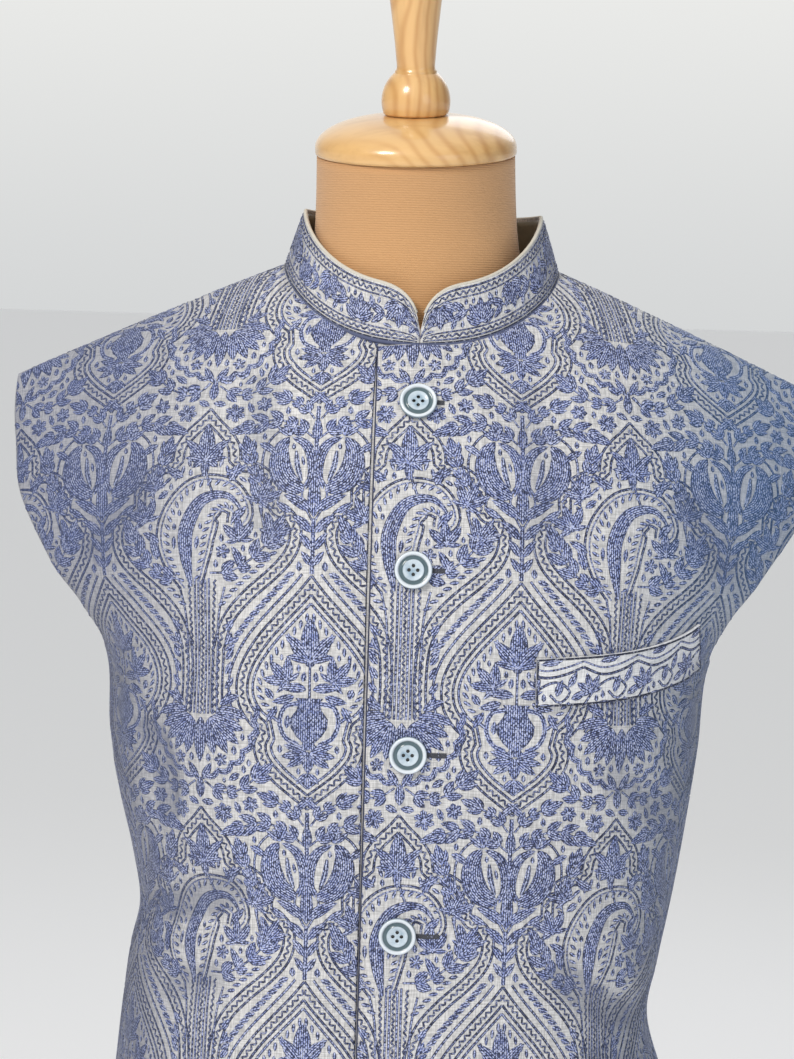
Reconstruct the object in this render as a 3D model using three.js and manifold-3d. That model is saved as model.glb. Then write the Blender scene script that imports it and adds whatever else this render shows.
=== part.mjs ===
// Mandarin collar waistcoat on a limbless dress form.
// Millimetres, +Z up, the front towards -Y, the wearer's left at +X.
// The origin is the middle of the base's underside, on the surface that it stands on.
import * as THREE from 'three';
import Module from 'manifold-3d';
import { mergeVertices } from 'three/addons/utils/BufferGeometryUtils.js';

const wasm = await Module();
wasm.setup();

// Cloth and seams
const clothThickness = 2;
const liningThickness = 1;
const seamGap = 0.3;
const weldDistance = 0.002; // points of one piece closer than this are one point

// Heights of the garment
const hemHeight = 100;
const levelTop = 500; // rows of the cloth are level up to here and lean above it
const underarmHeight = 561;
const shoulderTip = 720;
const ridgeMiddle = 813; // the shoulder line carried on to the middle
const ridgeRound = 0.25; // how soon the shoulder line turns level near the middle

// Rows of the body from the hem up. side is the height at the side seam, right and left are the
// half widths, front and back the depths at the middle, square the squareness of the plan.
const bodyRows = [
  { side: 100, right: 187, left: 184, front: 126, back: 120, square: 2.2 },
  { side: 180, right: 182, left: 179, front: 124, back: 118, square: 2.2 },
  { side: 250, right: 176, left: 171, front: 120, back: 111, square: 2.25 },
  { side: 300, right: 171, left: 162, front: 116, back: 102, square: 2.3 },
  { side: 345, right: 167, left: 149, front: 113, back: 94, square: 2.35 },
  { side: 380, right: 163, left: 154, front: 112.5, back: 90, square: 2.4 },
  { side: 406, right: 158, left: 159, front: 114, back: 90.5, square: 2.4 },
  { side: 435, right: 162.5, left: 164, front: 118, back: 94, square: 2.4 },
  { side: 470, right: 171, left: 169, front: 123, back: 100, square: 2.45 },
  { side: 510, right: 178.5, left: 174, front: 128, back: 106.5, square: 2.45 },
  { side: 561, right: 183.5, left: 179, front: 130, back: 112, square: 2.35 },
  { side: 585, right: 207, left: 199, front: 130, back: 112, square: 2.15 },
  { side: 608, right: 233.5, left: 224, front: 130, back: 112, square: 2 },
  { side: 644, right: 251.5, left: 247.5, front: 130, back: 112, square: 1.9 },
  { side: 680, right: 246.5, left: 246, front: 130, back: 112, square: 1.9 },
  { side: 720, right: 240, left: 240, front: 130, back: 112, square: 1.95 },
];

// How the chest and the back round over to the shoulder line
const roundOver = {
  front: { power: 2, root: 0.75 },
  back: { power: 4, root: 0.6 },
};

// The armhole cuts this many degrees out of each row at its widest
const armholeCut = 62;

// Neck opening, an ellipse in plan where the collar is sewn on
const neckHalfWidth = 82;
const neckDepth = { front: 75, back: 62 };

// Front closing: each front runs past the centre, the left one on top
const lapWidth = 24;
const underlapWidth = 18;
const lapSink = clothThickness + seamGap; // the right front goes under by this much
const lapSinkEnd = 52; // and is back at the body's surface this far from the centre

// Rows and columns of the panels
const lowerSteps = 16;
const armholeSteps = 7;
const neckSteps = 7;
const frontColumns = 11;
const backColumns = 8; // on each side of the centre back
const lapColumns = 2;

// Collar band
const collarHeight = 35;
const collarHeightBack = 38;
const collarEndRound = 30; // length of the rounded end
const collarEndPower = 2.5;
const collarEndStart = 0.3;
const collarEndPlaces = [1.2, 3, 6, 10, 15, 21, 30]; // where the rounded end has points
const collarEndClear = 0.9; // but none this close to a point of the seam
const collarLean = { front: 13, side: 18, back: 13 }; // degrees from upright, towards the neck
const collarSteps = 3;
const liningSetBack = 2; // the lining stops this far short of the band's edges

// Breast welt on the left front. across is the distance from the centre front and low and high
// are the heights of its two long edges.
const weltRows = [
  { across: 72, low: 541, high: 569 },
  { across: 90, low: 542, high: 570 },
  { across: 108, low: 543.2, high: 571.2 },
  { across: 124, low: 545, high: 573 },
  { across: 138, low: 547.5, high: 575.5 },
  { across: 150, low: 551, high: 579 },
  { across: 160, low: 555.5, high: 583.5 },
  { across: 167, low: 560.5, high: 588 },
];
const weltThickness = 2;
const weltLift = 0.55;
const weltStepsAcross = 13;
const weltStepsUp = 3;

// Buttons, from the top: height, and distance from the centre front
const buttonRows = [
  { height: 713, across: 0 },
  { height: 618, across: 0 },
  { height: 512, across: 0 },
  { height: 405, across: -3 },
  { height: 299, across: -2 },
];
const buttonRadius = 11;
const buttonThickness = 3.6;
const buttonRimWidth = 2;
const buttonStep = 0.9; // from the rim down to the ring
const buttonDish = 1.5; // from the rim down to the middle
const buttonDishRadius = 6.2;
const buttonHoleRadius = 0.95;
const buttonHoleOffset = 2.3;
const buttonSegments = 18;

// The form's torso: side is the height at the side, half its half width, front and back depths
const formRows = [
  { side: 18.3, half: 160, front: 98, back: 98, square: 2.2 },
  { side: 100, half: 164, front: 102, back: 102, square: 2.2 },
  { side: 180, half: 163, front: 104, back: 103, square: 2.2 },
  { side: 250, half: 156, front: 102, back: 96, square: 2.25 },
  { side: 320, half: 143, front: 98, back: 83, square: 2.35 },
  { side: 380, half: 139, front: 97, back: 76, square: 2.4 },
  { side: 440, half: 149, front: 104, back: 82, square: 2.4 },
  { side: 500, half: 162, front: 113, back: 94, square: 2.5 },
  { side: 561, half: 171, front: 119, back: 102, square: 2.3 },
  { side: 600, half: 186, front: 119, back: 102, square: 2.1 },
  { side: 644, half: 205, front: 119, back: 102, square: 2 },
  { side: 720, half: 216, front: 119, back: 102, square: 2 },
];
const shoulderSeat = 0.4; // the cloth rests this close to the form along the shoulders
const shoulderSlope = 24.5; // degrees
const seatDrop = (clothThickness + shoulderSeat) / Math.cos((shoulderSlope * Math.PI) / 180);
const seatFrom = 640; // rows above this one lie the whole drop below the cloth
const formLowerSteps = 13;
const formUpperSteps = 9;
const formColumns = 10; // a quarter of the way round is half of these

// The form's neck: a stack of level to leaning sections
const neckAxis = -3.5; // the neck stands this far to the wearer's right of the garment's middle
const neckSideLean = 0.03; // and goes this much further right for each millimetre up
const neckLeanFrom = 790;
const neckRows = [
  { height: 735, half: 74, depth: 58, middle: -4, tilt: 0 },
  { height: 772, half: 68, depth: 53, middle: -5, tilt: 1 },
  { height: 792, half: 63, depth: 52, middle: -6, tilt: 3 },
  { height: 812, half: 60.5, depth: 52, middle: -8, tilt: 5 },
  { height: 832, half: 59.5, depth: 53.5, middle: -10.5, tilt: 7 },
  { height: 857, half: 59, depth: 57, middle: -14, tilt: 8.5 },
];
const neckSegments = 32;

// Turned wood on the neck
const capRadius = 60;
const capHeight = 24;
const capEdge = 5;
const capFlat = 13;
const ballRadius = 20.5;
const ballHeight = 25;
const ballReach = 53; // degrees of the ball below and above its middle
const stemRows = [
  { up: 27, radius: 11.5 },
  { up: 34, radius: 11.8 },
  { up: 45, radius: 12.8 },
  { up: 58, radius: 14.3 },
  { up: 71, radius: 15.8 },
  { up: 80, radius: 16.6 },
  { up: 87, radius: 16.2 },
  { up: 92, radius: 13.5 },
  { up: 95, radius: 8.5 },
  { up: 96, radius: 0 },
];
const capSegments = 36;
const finialSegments = 20;

// Base
const baseHeight = 18;
const baseHalfWidth = 178;
const baseHalfDepth = 122;
const baseRound = 4;
const baseSegments = 40;

// Colours and finishes
const finish = {
  cloth: new THREE.MeshStandardMaterial({ color: 0x8a93bf, roughness: 0.75, metalness: 0 }),
  collar: new THREE.MeshStandardMaterial({ color: 0x9aa2c6, roughness: 0.75, metalness: 0 }),
  lining: new THREE.MeshStandardMaterial({ color: 0x8c8a7c, roughness: 0.6, metalness: 0 }),
  welt: new THREE.MeshStandardMaterial({ color: 0xb4bad2, roughness: 0.75, metalness: 0 }),
  button: new THREE.MeshStandardMaterial({ color: 0xbfd0e2, roughness: 0.25, metalness: 0 }),
  jersey: new THREE.MeshStandardMaterial({ color: 0xcfa77b, roughness: 0.9, metalness: 0 }),
  wood: new THREE.MeshStandardMaterial({ color: 0xd9b27c, roughness: 0.3, metalness: 0 }),
};

// Smooth value of a table's column: a cubic through the rows, which key puts in order
function columnAt(rows, column, at, key = 'side') {
  const last = rows.length - 1;
  const place = THREE.MathUtils.clamp(at, rows[0][key], rows[last][key]);
  let k = 0;
  while (k < last - 1 && place > rows[k + 1][key]) k += 1;
  const slopeAt = (i) => {
    const before = rows[Math.max(i - 1, 0)];
    const after = rows[Math.min(i + 1, last)];
    return (after[column] - before[column]) / (after[key] - before[key]);
  };
  const span = rows[k + 1][key] - rows[k][key];
  const u = (place - rows[k][key]) / span;
  const rise = u * u * (3 - 2 * u);
  return (
    rows[k][column] * (1 - rise) +
    rows[k + 1][column] * rise +
    slopeAt(k) * span * u * (1 - u) * (1 - u) -
    slopeAt(k + 1) * span * u * u * (1 - u)
  );
}

// Height of a row at the middle of the body
function middleOf(side) {
  const above = Math.max(side - levelTop, 0) / (shoulderTip - levelTop);
  return side + (ridgeMiddle - shoulderTip) * above ** 1.5;
}

// Share of a row's lean that is reached at a share of the half width
function leanShare(share) {
  return ((1 + ridgeRound) * share * share) / (share + ridgeRound);
}

// Depth at the middle of a row, rounding over to nothing at the shoulder line
function depthAt(rows, face, side) {
  const depth = columnAt(rows, face, side);
  if (side <= underarmHeight) return depth;
  const start = middleOf(underarmHeight);
  const share = (middleOf(side) - start) / (ridgeMiddle - start);
  const round = roundOver[face];
  return depth * Math.max(1 - share ** round.power, 0) ** round.root;
}

// Point of the body's surface. face is front or back, hand is 1 for the wearer's left and -1 for
// the right, and turn is 0 at the centre and 90 degrees at the side.
function bodyPoint(face, hand, side, turn) {
  const half = columnAt(bodyRows, hand > 0 ? 'left' : 'right', side);
  const power = 2 / columnAt(bodyRows, 'square', side);
  const angle = THREE.MathUtils.degToRad(Math.abs(turn));
  const way = turn < 0 ? -hand : hand;
  const x = half * Math.sin(angle) ** power;
  const y = depthAt(bodyRows, face, side) * Math.max(Math.cos(angle), 0) ** power + seamGap / 2;
  const middle = middleOf(side);
  const z = middle + (side - middle) * leanShare(x / half);
  return new THREE.Vector3(way * x, face === 'front' ? -y : y, z);
}

// Outward normal of the body's surface
function bodyNormal(face, hand, side, turn) {
  const step = 0.5;
  const low = Math.max(side - step, hemHeight);
  const high = Math.min(side + step, shoulderTip);
  const inside = Math.abs(turn) > 90 - step ? turn - step : turn;
  const across = bodyPoint(face, hand, side, inside + step);
  across.sub(bodyPoint(face, hand, side, inside - step));
  const up = bodyPoint(face, hand, high, turn).sub(bodyPoint(face, hand, low, turn));
  const normal = across.cross(up).multiplyScalar(face === 'front' ? hand : -hand);
  const onSeam = side >= shoulderTip || (turn >= 90 && side <= underarmHeight);
  if (onSeam) normal.y = 0;
  return normal.normalize();
}

// Turn at which a row crosses a distance from the centre
function turnAcross(hand, side, across) {
  const half = columnAt(bodyRows, hand > 0 ? 'left' : 'right', side);
  const square = columnAt(bodyRows, 'square', side);
  const angle = Math.asin(Math.min(Math.abs(across) / half, 1) ** (square / 2));
  return THREE.MathUtils.radToDeg(angle) * Math.sign(across);
}

// Halves an interval until it closes on where a rising test passes nought
function closeOn(test, low, high) {
  const halvings = 50;
  let from = low;
  let to = high;
  for (let k = 0; k < halvings; k += 1) {
    const middle = (from + to) / 2;
    if (test(middle) < 0) from = middle;
    else to = middle;
  }
  return (from + to) / 2;
}

// Turn at which a row leaves the neck opening, nought where it passes below it
function neckTurn(face, hand, side) {
  const outside = (turn) => {
    const point = bodyPoint(face, hand, side, turn);
    const y = Math.abs(point.y) - seamGap / 2;
    return (point.x / neckHalfWidth) ** 2 + (y / neckDepth[face]) ** 2 - 1;
  };
  return outside(0) > -weldDistance ? 0 : closeOn(outside, 0, 80);
}

// Turn at which a row meets the side seam or, above the underarm, the armhole
function edgeTurn(side) {
  const share = Math.max(side - underarmHeight, 0) / (shoulderTip - underarmHeight);
  return 90 - armholeCut * Math.sqrt(share) * (1 - share);
}

// Row that passes through the middle of the neck's seam
function neckRow(face) {
  const gone = (side) => neckDepth[face] - depthAt(bodyRows, face, side);
  return closeOn(gone, underarmHeight, shoulderTip);
}

// Steps from one value to another, close together at both ends
function easedSteps(from, to, count) {
  const steps = [];
  for (let k = 1; k <= count; k += 1) {
    steps.push(from + ((to - from) * (1 - Math.cos((Math.PI * k) / count))) / 2);
  }
  return steps;
}

// Side heights of a panel's rows, with one row through the middle of its neck
function panelRows(face) {
  const rows = [];
  for (let k = 0; k <= lowerSteps; k += 1) {
    rows.push(hemHeight + ((underarmHeight - hemHeight) * k) / lowerSteps);
  }
  const neck = neckRow(face);
  rows.push(...easedSteps(underarmHeight, neck, armholeSteps));
  rows.push(...easedSteps(neck, shoulderTip, neckSteps));
  return rows;
}

// The right front sinks under the left one beside the centre
function sinkAt(across) {
  const past = THREE.MathUtils.smoothstep(Math.abs(across), lapWidth, lapSinkEnd);
  return lapSink * (1 - past);
}

// One point of a panel with its outer and inner places, each on its own side of the seams
function wallPoint(face, hand, side, turn, sinks) {
  const outer = bodyPoint(face, hand, side, turn);
  const normal = bodyNormal(face, hand, side, turn);
  if (sinks) outer.addScaledVector(normal, -sinkAt(outer.x));
  const inner = outer.clone().addScaledVector(normal, -clothThickness);
  if (face === 'front') inner.y = Math.min(inner.y, -seamGap / 2);
  else inner.y = Math.max(inner.y, seamGap / 2);
  return { outer, inner };
}

// Turns of a row's columns between the centre, or the neck, and the side, or the armhole. The
// first few are as far apart as those of the lap, so that the two fronts lie flat on each other.
function columnTurns(face, hand, side, columns) {
  const from = neckTurn(face, hand, side);
  const to = edgeTurn(side);
  const turns = [from];
  for (let k = 1; k <= lapColumns; k += 1) {
    turns.push(from + turnAcross(hand, side, (lapWidth * k) / lapColumns));
  }
  const start = turns[lapColumns];
  for (let k = 1; k <= columns; k += 1) turns.push(start + ((to - start) * k) / columns);
  return turns;
}

// The part of a panel from the centre, or the neck, out to the side, or the armhole
function panelBlock(face, hand, rows, columns, sinks) {
  return rows.map((side) => {
    const turns = columnTurns(face, hand, side, columns);
    return turns.map((turn) => wallPoint(face, hand, side, turn, sinks));
  });
}

// Columns past the centre front, up to the row through the neck's middle
function lapBlock(hand, rows, width, sinks) {
  const neck = neckRow('front') + 0.001;
  return rows
    .filter((side) => side <= neck)
    .map((side) => {
      const row = [];
      for (let k = lapColumns; k >= 0; k -= 1) {
        const across = (-width * k) / lapColumns;
        row.push(wallPoint('front', hand, side, turnAcross(hand, side, across), sinks));
      }
      return row;
    });
}

// Turns a block's columns round, so that its outer side faces out
function turned(block) {
  return block.map((row) => row.slice().reverse());
}

// Closes blocks of paired points into one wall: outer side, inner side and every free edge
function wallGeometry(blocks) {
  const places = [];
  const known = new Map();
  const faces = [];
  const indexOf = (point) => {
    const key = point.outer.toArray().map((v) => Math.round(v / weldDistance) + 0).join(' ');
    if (!known.has(key)) {
      known.set(key, places.length / 2);
      places.push(point.outer, point.inner);
    }
    return known.get(key);
  };
  for (const block of blocks) {
    for (let r = 0; r + 1 < block.length; r += 1) {
      for (let c = 0; c + 1 < block[r].length; c += 1) {
        const low = indexOf(block[r][c]);
        const lowNext = indexOf(block[r][c + 1]);
        const highNext = indexOf(block[r + 1][c + 1]);
        const high = indexOf(block[r + 1][c]);
        faces.push([low, lowNext, highNext], [low, highNext, high]);
      }
    }
  }
  const solid = faces.filter(([a, b, c]) => a !== b && b !== c && c !== a);
  const uses = new Set();
  for (const [a, b, c] of solid) {
    uses.add(`${a} ${b}`).add(`${b} ${c}`).add(`${c} ${a}`);
  }
  const index = [];
  for (const [a, b, c] of solid) {
    index.push(2 * a, 2 * b, 2 * c, 2 * a + 1, 2 * c + 1, 2 * b + 1);
    for (const [from, to] of [[a, b], [b, c], [c, a]]) {
      if (uses.has(`${to} ${from}`)) continue;
      index.push(2 * from, 2 * from + 1, 2 * to + 1, 2 * from, 2 * to + 1, 2 * to);
    }
  }
  return indexedGeometry(places, index);
}

function indexedGeometry(places, index) {
  const geometry = new THREE.BufferGeometry();
  const numbers = places.flatMap((place) => place.toArray());
  geometry.setAttribute('position', new THREE.Float32BufferAttribute(numbers, 3));
  geometry.setIndex(index);
  geometry.computeVertexNormals();
  return geometry;
}

function frontGeometry(hand, width, sinks) {
  const rows = panelRows('front');
  const blocks = [
    panelBlock('front', hand, rows, frontColumns, sinks),
    lapBlock(hand, rows, width, sinks),
  ];
  return wallGeometry(hand > 0 ? blocks : blocks.map(turned));
}

function backGeometry() {
  const rows = panelRows('back');
  const left = panelBlock('back', 1, rows, backColumns, false);
  const right = panelBlock('back', -1, rows, backColumns, false);
  return wallGeometry([turned(left), right]);
}

// Points of the neck's seam on one quarter, from the centre out to the shoulder line
function neckQuarter(face, hand) {
  const rows = panelRows(face).filter((side) => side >= neckRow(face) - 0.001);
  return rows.map((side) => bodyPoint(face, hand, side, neckTurn(face, hand, side)));
}

// The seam all round, from the right side of the centre front, behind the neck, to the left side
function neckSeam() {
  const gap = seamGap / 2;
  const frontRight = neckQuarter('front', -1);
  const backRight = neckQuarter('back', -1).slice(0, -1).reverse();
  const backLeft = neckQuarter('back', 1).slice(1, -1);
  const frontLeft = neckQuarter('front', 1).reverse();
  frontRight[0].x -= gap;
  frontLeft[frontLeft.length - 1].x += gap;
  return [...frontRight, ...backRight, ...backLeft, ...frontLeft];
}

// The seam with more points along its two ends, each with its distance from the nearer end
function collarColumns() {
  const seam = neckSeam();
  const along = [0];
  for (let k = 1; k < seam.length; k += 1) {
    along.push(along[k - 1] + seam[k].distanceTo(seam[k - 1]));
  }
  const whole = along[along.length - 1];
  const places = [...along];
  for (const place of collarEndPlaces) {
    for (const added of [place, whole - place]) {
      const nearest = Math.min(...along.map((other) => Math.abs(other - added)));
      if (nearest > collarEndClear) places.push(added);
    }
  }
  places.sort((a, b) => a - b);
  return places.map((place) => {
    let k = 0;
    while (k < seam.length - 2 && place > along[k + 1]) k += 1;
    const share = (place - along[k]) / (along[k + 1] - along[k]);
    return { base: seam[k].clone().lerp(seam[k + 1], share), end: Math.min(place, whole - place) };
  });
}

// Outward level direction of the neck's ellipse at a point of the seam
function neckOutward(base) {
  const depth = base.y < 0 ? neckDepth.front : neckDepth.back;
  return new THREE.Vector3(base.x / neckHalfWidth ** 2, base.y / depth ** 2, 0).normalize();
}

// Upward direction of the band, leaning towards the neck
function collarRise(outward) {
  const ends = outward.y < 0 ? collarLean.front : collarLean.back;
  const share = outward.x ** 2;
  const lean = THREE.MathUtils.degToRad(ends + (collarLean.side - ends) * share);
  return outward.clone().multiplyScalar(-Math.sin(lean)).setZ(Math.cos(lean));
}

// Height of the band: rounded ends, and a little higher behind the neck
function collarHeightAt(column, outward) {
  const full = collarHeight + (collarHeightBack - collarHeight) * Math.max(outward.y, 0);
  const short = Math.max(1 - (column.end + collarEndStart) / collarEndRound, 0);
  return full * (1 - short ** collarEndPower) ** (1 / collarEndPower);
}

// A band round the neck: depth is how far in from the collar's outer side it starts
function bandGeometry(depth, thickness, setBack) {
  const columns = collarColumns().filter((column) => column.end >= setBack);
  const rows = [];
  for (let r = 0; r <= collarSteps; r += 1) {
    rows.push(
      columns.map((column) => {
        const outward = neckOutward(column.base);
        const rise = collarRise(outward);
        const normal = outward.clone().multiplyScalar(rise.z);
        normal.z = Math.hypot(rise.x, rise.y);
        const from = Math.max(setBack, seamGap);
        const to = collarHeightAt(column, outward) - setBack;
        const outer = column.base.clone();
        outer.addScaledVector(rise, from + ((to - from) * r) / collarSteps);
        outer.addScaledVector(normal, -depth);
        return { outer, inner: outer.clone().addScaledVector(normal, -thickness) };
      }),
    );
  }
  return wallGeometry([turned(rows)]);
}

// Casts a ray at a panel and gives where it meets the panel's outer side
function meetPanel(panel, point, normal) {
  const reach = 60;
  const start = point.clone().addScaledVector(normal, reach);
  const ray = new THREE.Raycaster(start, normal.clone().negate(), 0, 2 * reach);
  return ray.intersectObject(panel)[0].point;
}

// Row of the front at which a point of the surface has a given height and distance across
function rowThrough(hand, across, height) {
  const over = (side) => {
    return bodyPoint('front', hand, side, turnAcross(hand, side, across)).z - height;
  };
  return closeOn(over, hemHeight, shoulderTip);
}

function weltGeometry(panel) {
  const first = weltRows[0].across;
  const span = weltRows[weltRows.length - 1].across - first;
  const rows = [];
  for (let r = 0; r <= weltStepsUp; r += 1) {
    const row = [];
    for (let k = 0; k <= weltStepsAcross; k += 1) {
      const across = first + span * Math.sin((Math.PI / 2) * (k / weltStepsAcross));
      const low = columnAt(weltRows, 'low', across, 'across');
      const high = columnAt(weltRows, 'high', across, 'across');
      const side = rowThrough(1, across, low + ((high - low) * r) / weltStepsUp);
      const turn = turnAcross(1, side, across);
      const normal = bodyNormal('front', 1, side, turn);
      const face = meetPanel(panel, bodyPoint('front', 1, side, turn), normal);
      const inner = face.addScaledVector(normal, weltLift);
      row.push({ outer: inner.clone().addScaledVector(normal, weltThickness), inner });
    }
    rows.push(row);
  }
  return wallGeometry([rows]);
}

// Closed solid turned about Z from a profile that starts and ends on the axis
function turnedGeometry(profile, segments) {
  const points = profile.map(([radius, up]) => new THREE.Vector2(radius, up));
  const geometry = new THREE.LatheGeometry(points, segments);
  geometry.rotateX(Math.PI / 2);
  return geometry;
}

function toManifold(geometry) {
  const bare = geometry.clone();
  bare.deleteAttribute('normal');
  bare.deleteAttribute('uv');
  const merged = mergeVertices(bare, weldDistance / 10);
  const corners = merged.index.array;
  const kept = [];
  for (let k = 0; k < corners.length; k += 3) {
    const [a, b, c] = corners.slice(k, k + 3);
    if (a !== b && b !== c && c !== a) kept.push(a, b, c);
  }
  const mesh = new wasm.Mesh({
    numProp: 3,
    vertProperties: Float32Array.from(merged.attributes.position.array),
    triVerts: Uint32Array.from(kept),
  });
  return new wasm.Manifold(mesh);
}

function fromManifold(solid) {
  const mesh = solid.getMesh();
  const geometry = new THREE.BufferGeometry();
  geometry.setAttribute('position', new THREE.BufferAttribute(mesh.vertProperties, 3));
  geometry.setIndex(new THREE.BufferAttribute(mesh.triVerts, 1));
  geometry.computeVertexNormals();
  return geometry;
}

// Four hole button: a rim, a ring one step down and a dished middle. Its back is at nought.
function buttonGeometry() {
  const top = buttonThickness;
  const profile = [
    [0, 0],
    [buttonRadius - 1.6, 0],
    [buttonRadius, 1.5],
    [buttonRadius - 0.3, top - 0.4],
    [buttonRadius - 1, top],
    [buttonRadius - buttonRimWidth, top - buttonStep],
    [buttonDishRadius, top - buttonStep],
    [0, top - buttonDish],
  ];
  let solid = toManifold(turnedGeometry(profile, buttonSegments));
  for (let k = 0; k < 4; k += 1) {
    const angle = (Math.PI / 2) * k;
    const hole = new THREE.CylinderGeometry(buttonHoleRadius, buttonHoleRadius, 4 * top, 6);
    hole.rotateX(Math.PI / 2);
    hole.translate(buttonHoleOffset * Math.cos(angle), buttonHoleOffset * Math.sin(angle), 0);
    solid = solid.subtract(toManifold(hole));
  }
  return fromManifold(solid);
}

// Sets a button on the panel, flat against it and clear of its highest point
function placeButton(mesh, panel, { height, across }) {
  const side = rowThrough(1, Math.max(across, 0.01), height);
  const turn = turnAcross(1, side, across);
  const normal = bodyNormal('front', 1, side, turn);
  const centre = bodyPoint('front', 1, side, turn);
  const right = new THREE.Vector3(0, 0, 1).cross(normal).normalize();
  const up = normal.clone().cross(right);
  let lift = -Infinity;
  const spots = 12;
  for (let k = 0; k <= spots; k += 1) {
    const angle = (2 * Math.PI * k) / spots;
    const reach = k < spots ? buttonRadius : 0;
    const spot = centre.clone();
    spot.addScaledVector(right, reach * Math.cos(angle));
    spot.addScaledVector(up, reach * Math.sin(angle));
    const met = meetPanel(panel, spot, normal);
    lift = Math.max(lift, met.sub(centre).dot(normal));
  }
  mesh.position.copy(centre).addScaledVector(normal, lift + seamGap);
  mesh.quaternion.setFromRotationMatrix(new THREE.Matrix4().makeBasis(right, up, normal));
}

// Closed solid through a stack of rings of the same number of points, with flat ends. A stack
// whose last ring is a line, with its two sides on each other, has no upper end.
function ringsGeometry(rings, endsInLine = false) {
  const count = rings[0].length;
  const places = rings.flat();
  const index = [];
  for (let r = 0; r + 1 < rings.length; r += 1) {
    for (let k = 0; k < count; k += 1) {
      const next = (k + 1) % count;
      const low = r * count;
      const high = low + count;
      index.push(low + k, low + next, high + next, low + k, high + next, high + k);
    }
  }
  const last = (rings.length - 1) * count;
  for (let k = 1; k + 1 < count; k += 1) {
    index.push(0, k + 1, k);
    if (!endsInLine) index.push(last, last + k, last + k + 1);
  }
  return indexedGeometry(places, index);
}

// One ring of the torso, which is inside the cloth and touches it at the shoulder line
function torsoRing(side) {
  const half = columnAt(formRows, 'half', side);
  const power = 2 / columnAt(formRows, 'square', side);
  const middle = middleOf(side);
  const seated = THREE.MathUtils.smoothstep(side, underarmHeight, seatFrom);
  const drop = seated * seatDrop;
  const ring = [];
  for (let k = 0; k < 4 * formColumns; k += 1) {
    const angle = (Math.PI / 2) * (k / formColumns);
    const across = Math.cos(angle);
    const x = half * Math.sign(across) * Math.abs(across) ** power;
    const face = Math.sin(angle) < 0 ? 'front' : 'back';
    const deep = Math.abs(Math.sin(angle)) ** power * depthAt(formRows, face, side);
    const clothHalf = columnAt(bodyRows, x > 0 ? 'left' : 'right', side);
    const z = middle + (side - middle) * leanShare(Math.min(Math.abs(x) / clothHalf, 1));
    ring.push(new THREE.Vector3(x, face === 'front' ? -deep : deep, z - drop));
  }
  return ring;
}

function torsoGeometry() {
  const bottom = formRows[0].side;
  const rings = [];
  for (let k = 0; k <= formLowerSteps; k += 1) {
    rings.push(torsoRing(bottom + ((underarmHeight - bottom) * k) / formLowerSteps));
  }
  for (const side of easedSteps(underarmHeight, shoulderTip, formUpperSteps)) {
    rings.push(torsoRing(side));
  }
  return ringsGeometry(rings, true);
}

// Middle of the neck at a height
function neckMiddle({ height, middle }) {
  return new THREE.Vector3(neckAxis - (height - neckLeanFrom) * neckSideLean, middle, height);
}

// Turn of a neck section: tilt is forward, and the side lean goes with the axis
function neckTurnOf(tilt) {
  const forward = THREE.MathUtils.degToRad(tilt);
  return new THREE.Quaternion().setFromEuler(new THREE.Euler(forward, -neckSideLean, 0));
}

function neckGeometry() {
  const rings = neckRows.map((row) => {
    const ring = [];
    for (let k = 0; k < neckSegments; k += 1) {
      const angle = (2 * Math.PI * k) / neckSegments;
      const spot = new THREE.Vector3(row.half * Math.cos(angle), row.depth * Math.sin(angle), 0);
      ring.push(spot.applyQuaternion(neckTurnOf(row.tilt)).add(neckMiddle(row)));
    }
    return ring;
  });
  return ringsGeometry(rings);
}

function formGeometry() {
  return fromManifold(toManifold(torsoGeometry()).add(toManifold(neckGeometry())));
}

// Dome of the neck cap, from its flat underside up
function capGeometry() {
  const profile = [[0, 0], [capRadius - 2, 0], [capRadius, 2], [capRadius, capEdge]];
  const steps = 6;
  for (let k = 1; k < steps; k += 1) {
    const angle = (Math.PI / 2) * (k / steps);
    const radius = capFlat + (capRadius - capFlat) * Math.cos(angle);
    profile.push([radius, capEdge + (capHeight - capEdge) * Math.sin(angle)]);
  }
  profile.push([capFlat, capHeight], [0, capHeight]);
  return turnedGeometry(profile, capSegments);
}

// Ball and stem, from the flat under the ball up
function finialGeometry() {
  const profile = [[0, 0]];
  const steps = 8;
  const reach = THREE.MathUtils.degToRad(ballReach);
  for (let k = 0; k <= steps; k += 1) {
    const angle = reach * ((2 * k) / steps - 1);
    const up = (ballHeight / 2) * (1 + Math.sin(angle) / Math.sin(reach));
    profile.push([ballRadius * Math.cos(angle), up]);
  }
  for (const { up, radius } of stemRows) profile.push([radius, up]);
  return turnedGeometry(profile, finialSegments);
}

// Flat oval base with a rounded upper edge
function baseGeometry() {
  const rows = [
    { up: 0, inset: 0 },
    { up: baseHeight - baseRound, inset: 0 },
    { up: baseHeight - baseRound * 0.3, inset: baseRound * 0.3 },
    { up: baseHeight, inset: baseRound },
  ];
  const rings = rows.map(({ up, inset }) => {
    const ring = [];
    for (let k = 0; k < baseSegments; k += 1) {
      const angle = (2 * Math.PI * k) / baseSegments;
      const x = (baseHalfWidth - inset) * Math.cos(angle);
      const y = (baseHalfDepth - inset) * Math.sin(angle);
      ring.push(new THREE.Vector3(x, y, up));
    }
    return ring;
  });
  return ringsGeometry(rings);
}

function named(name, geometry, material) {
  const mesh = new THREE.Mesh(geometry, material);
  mesh.name = name;
  return mesh;
}

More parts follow.
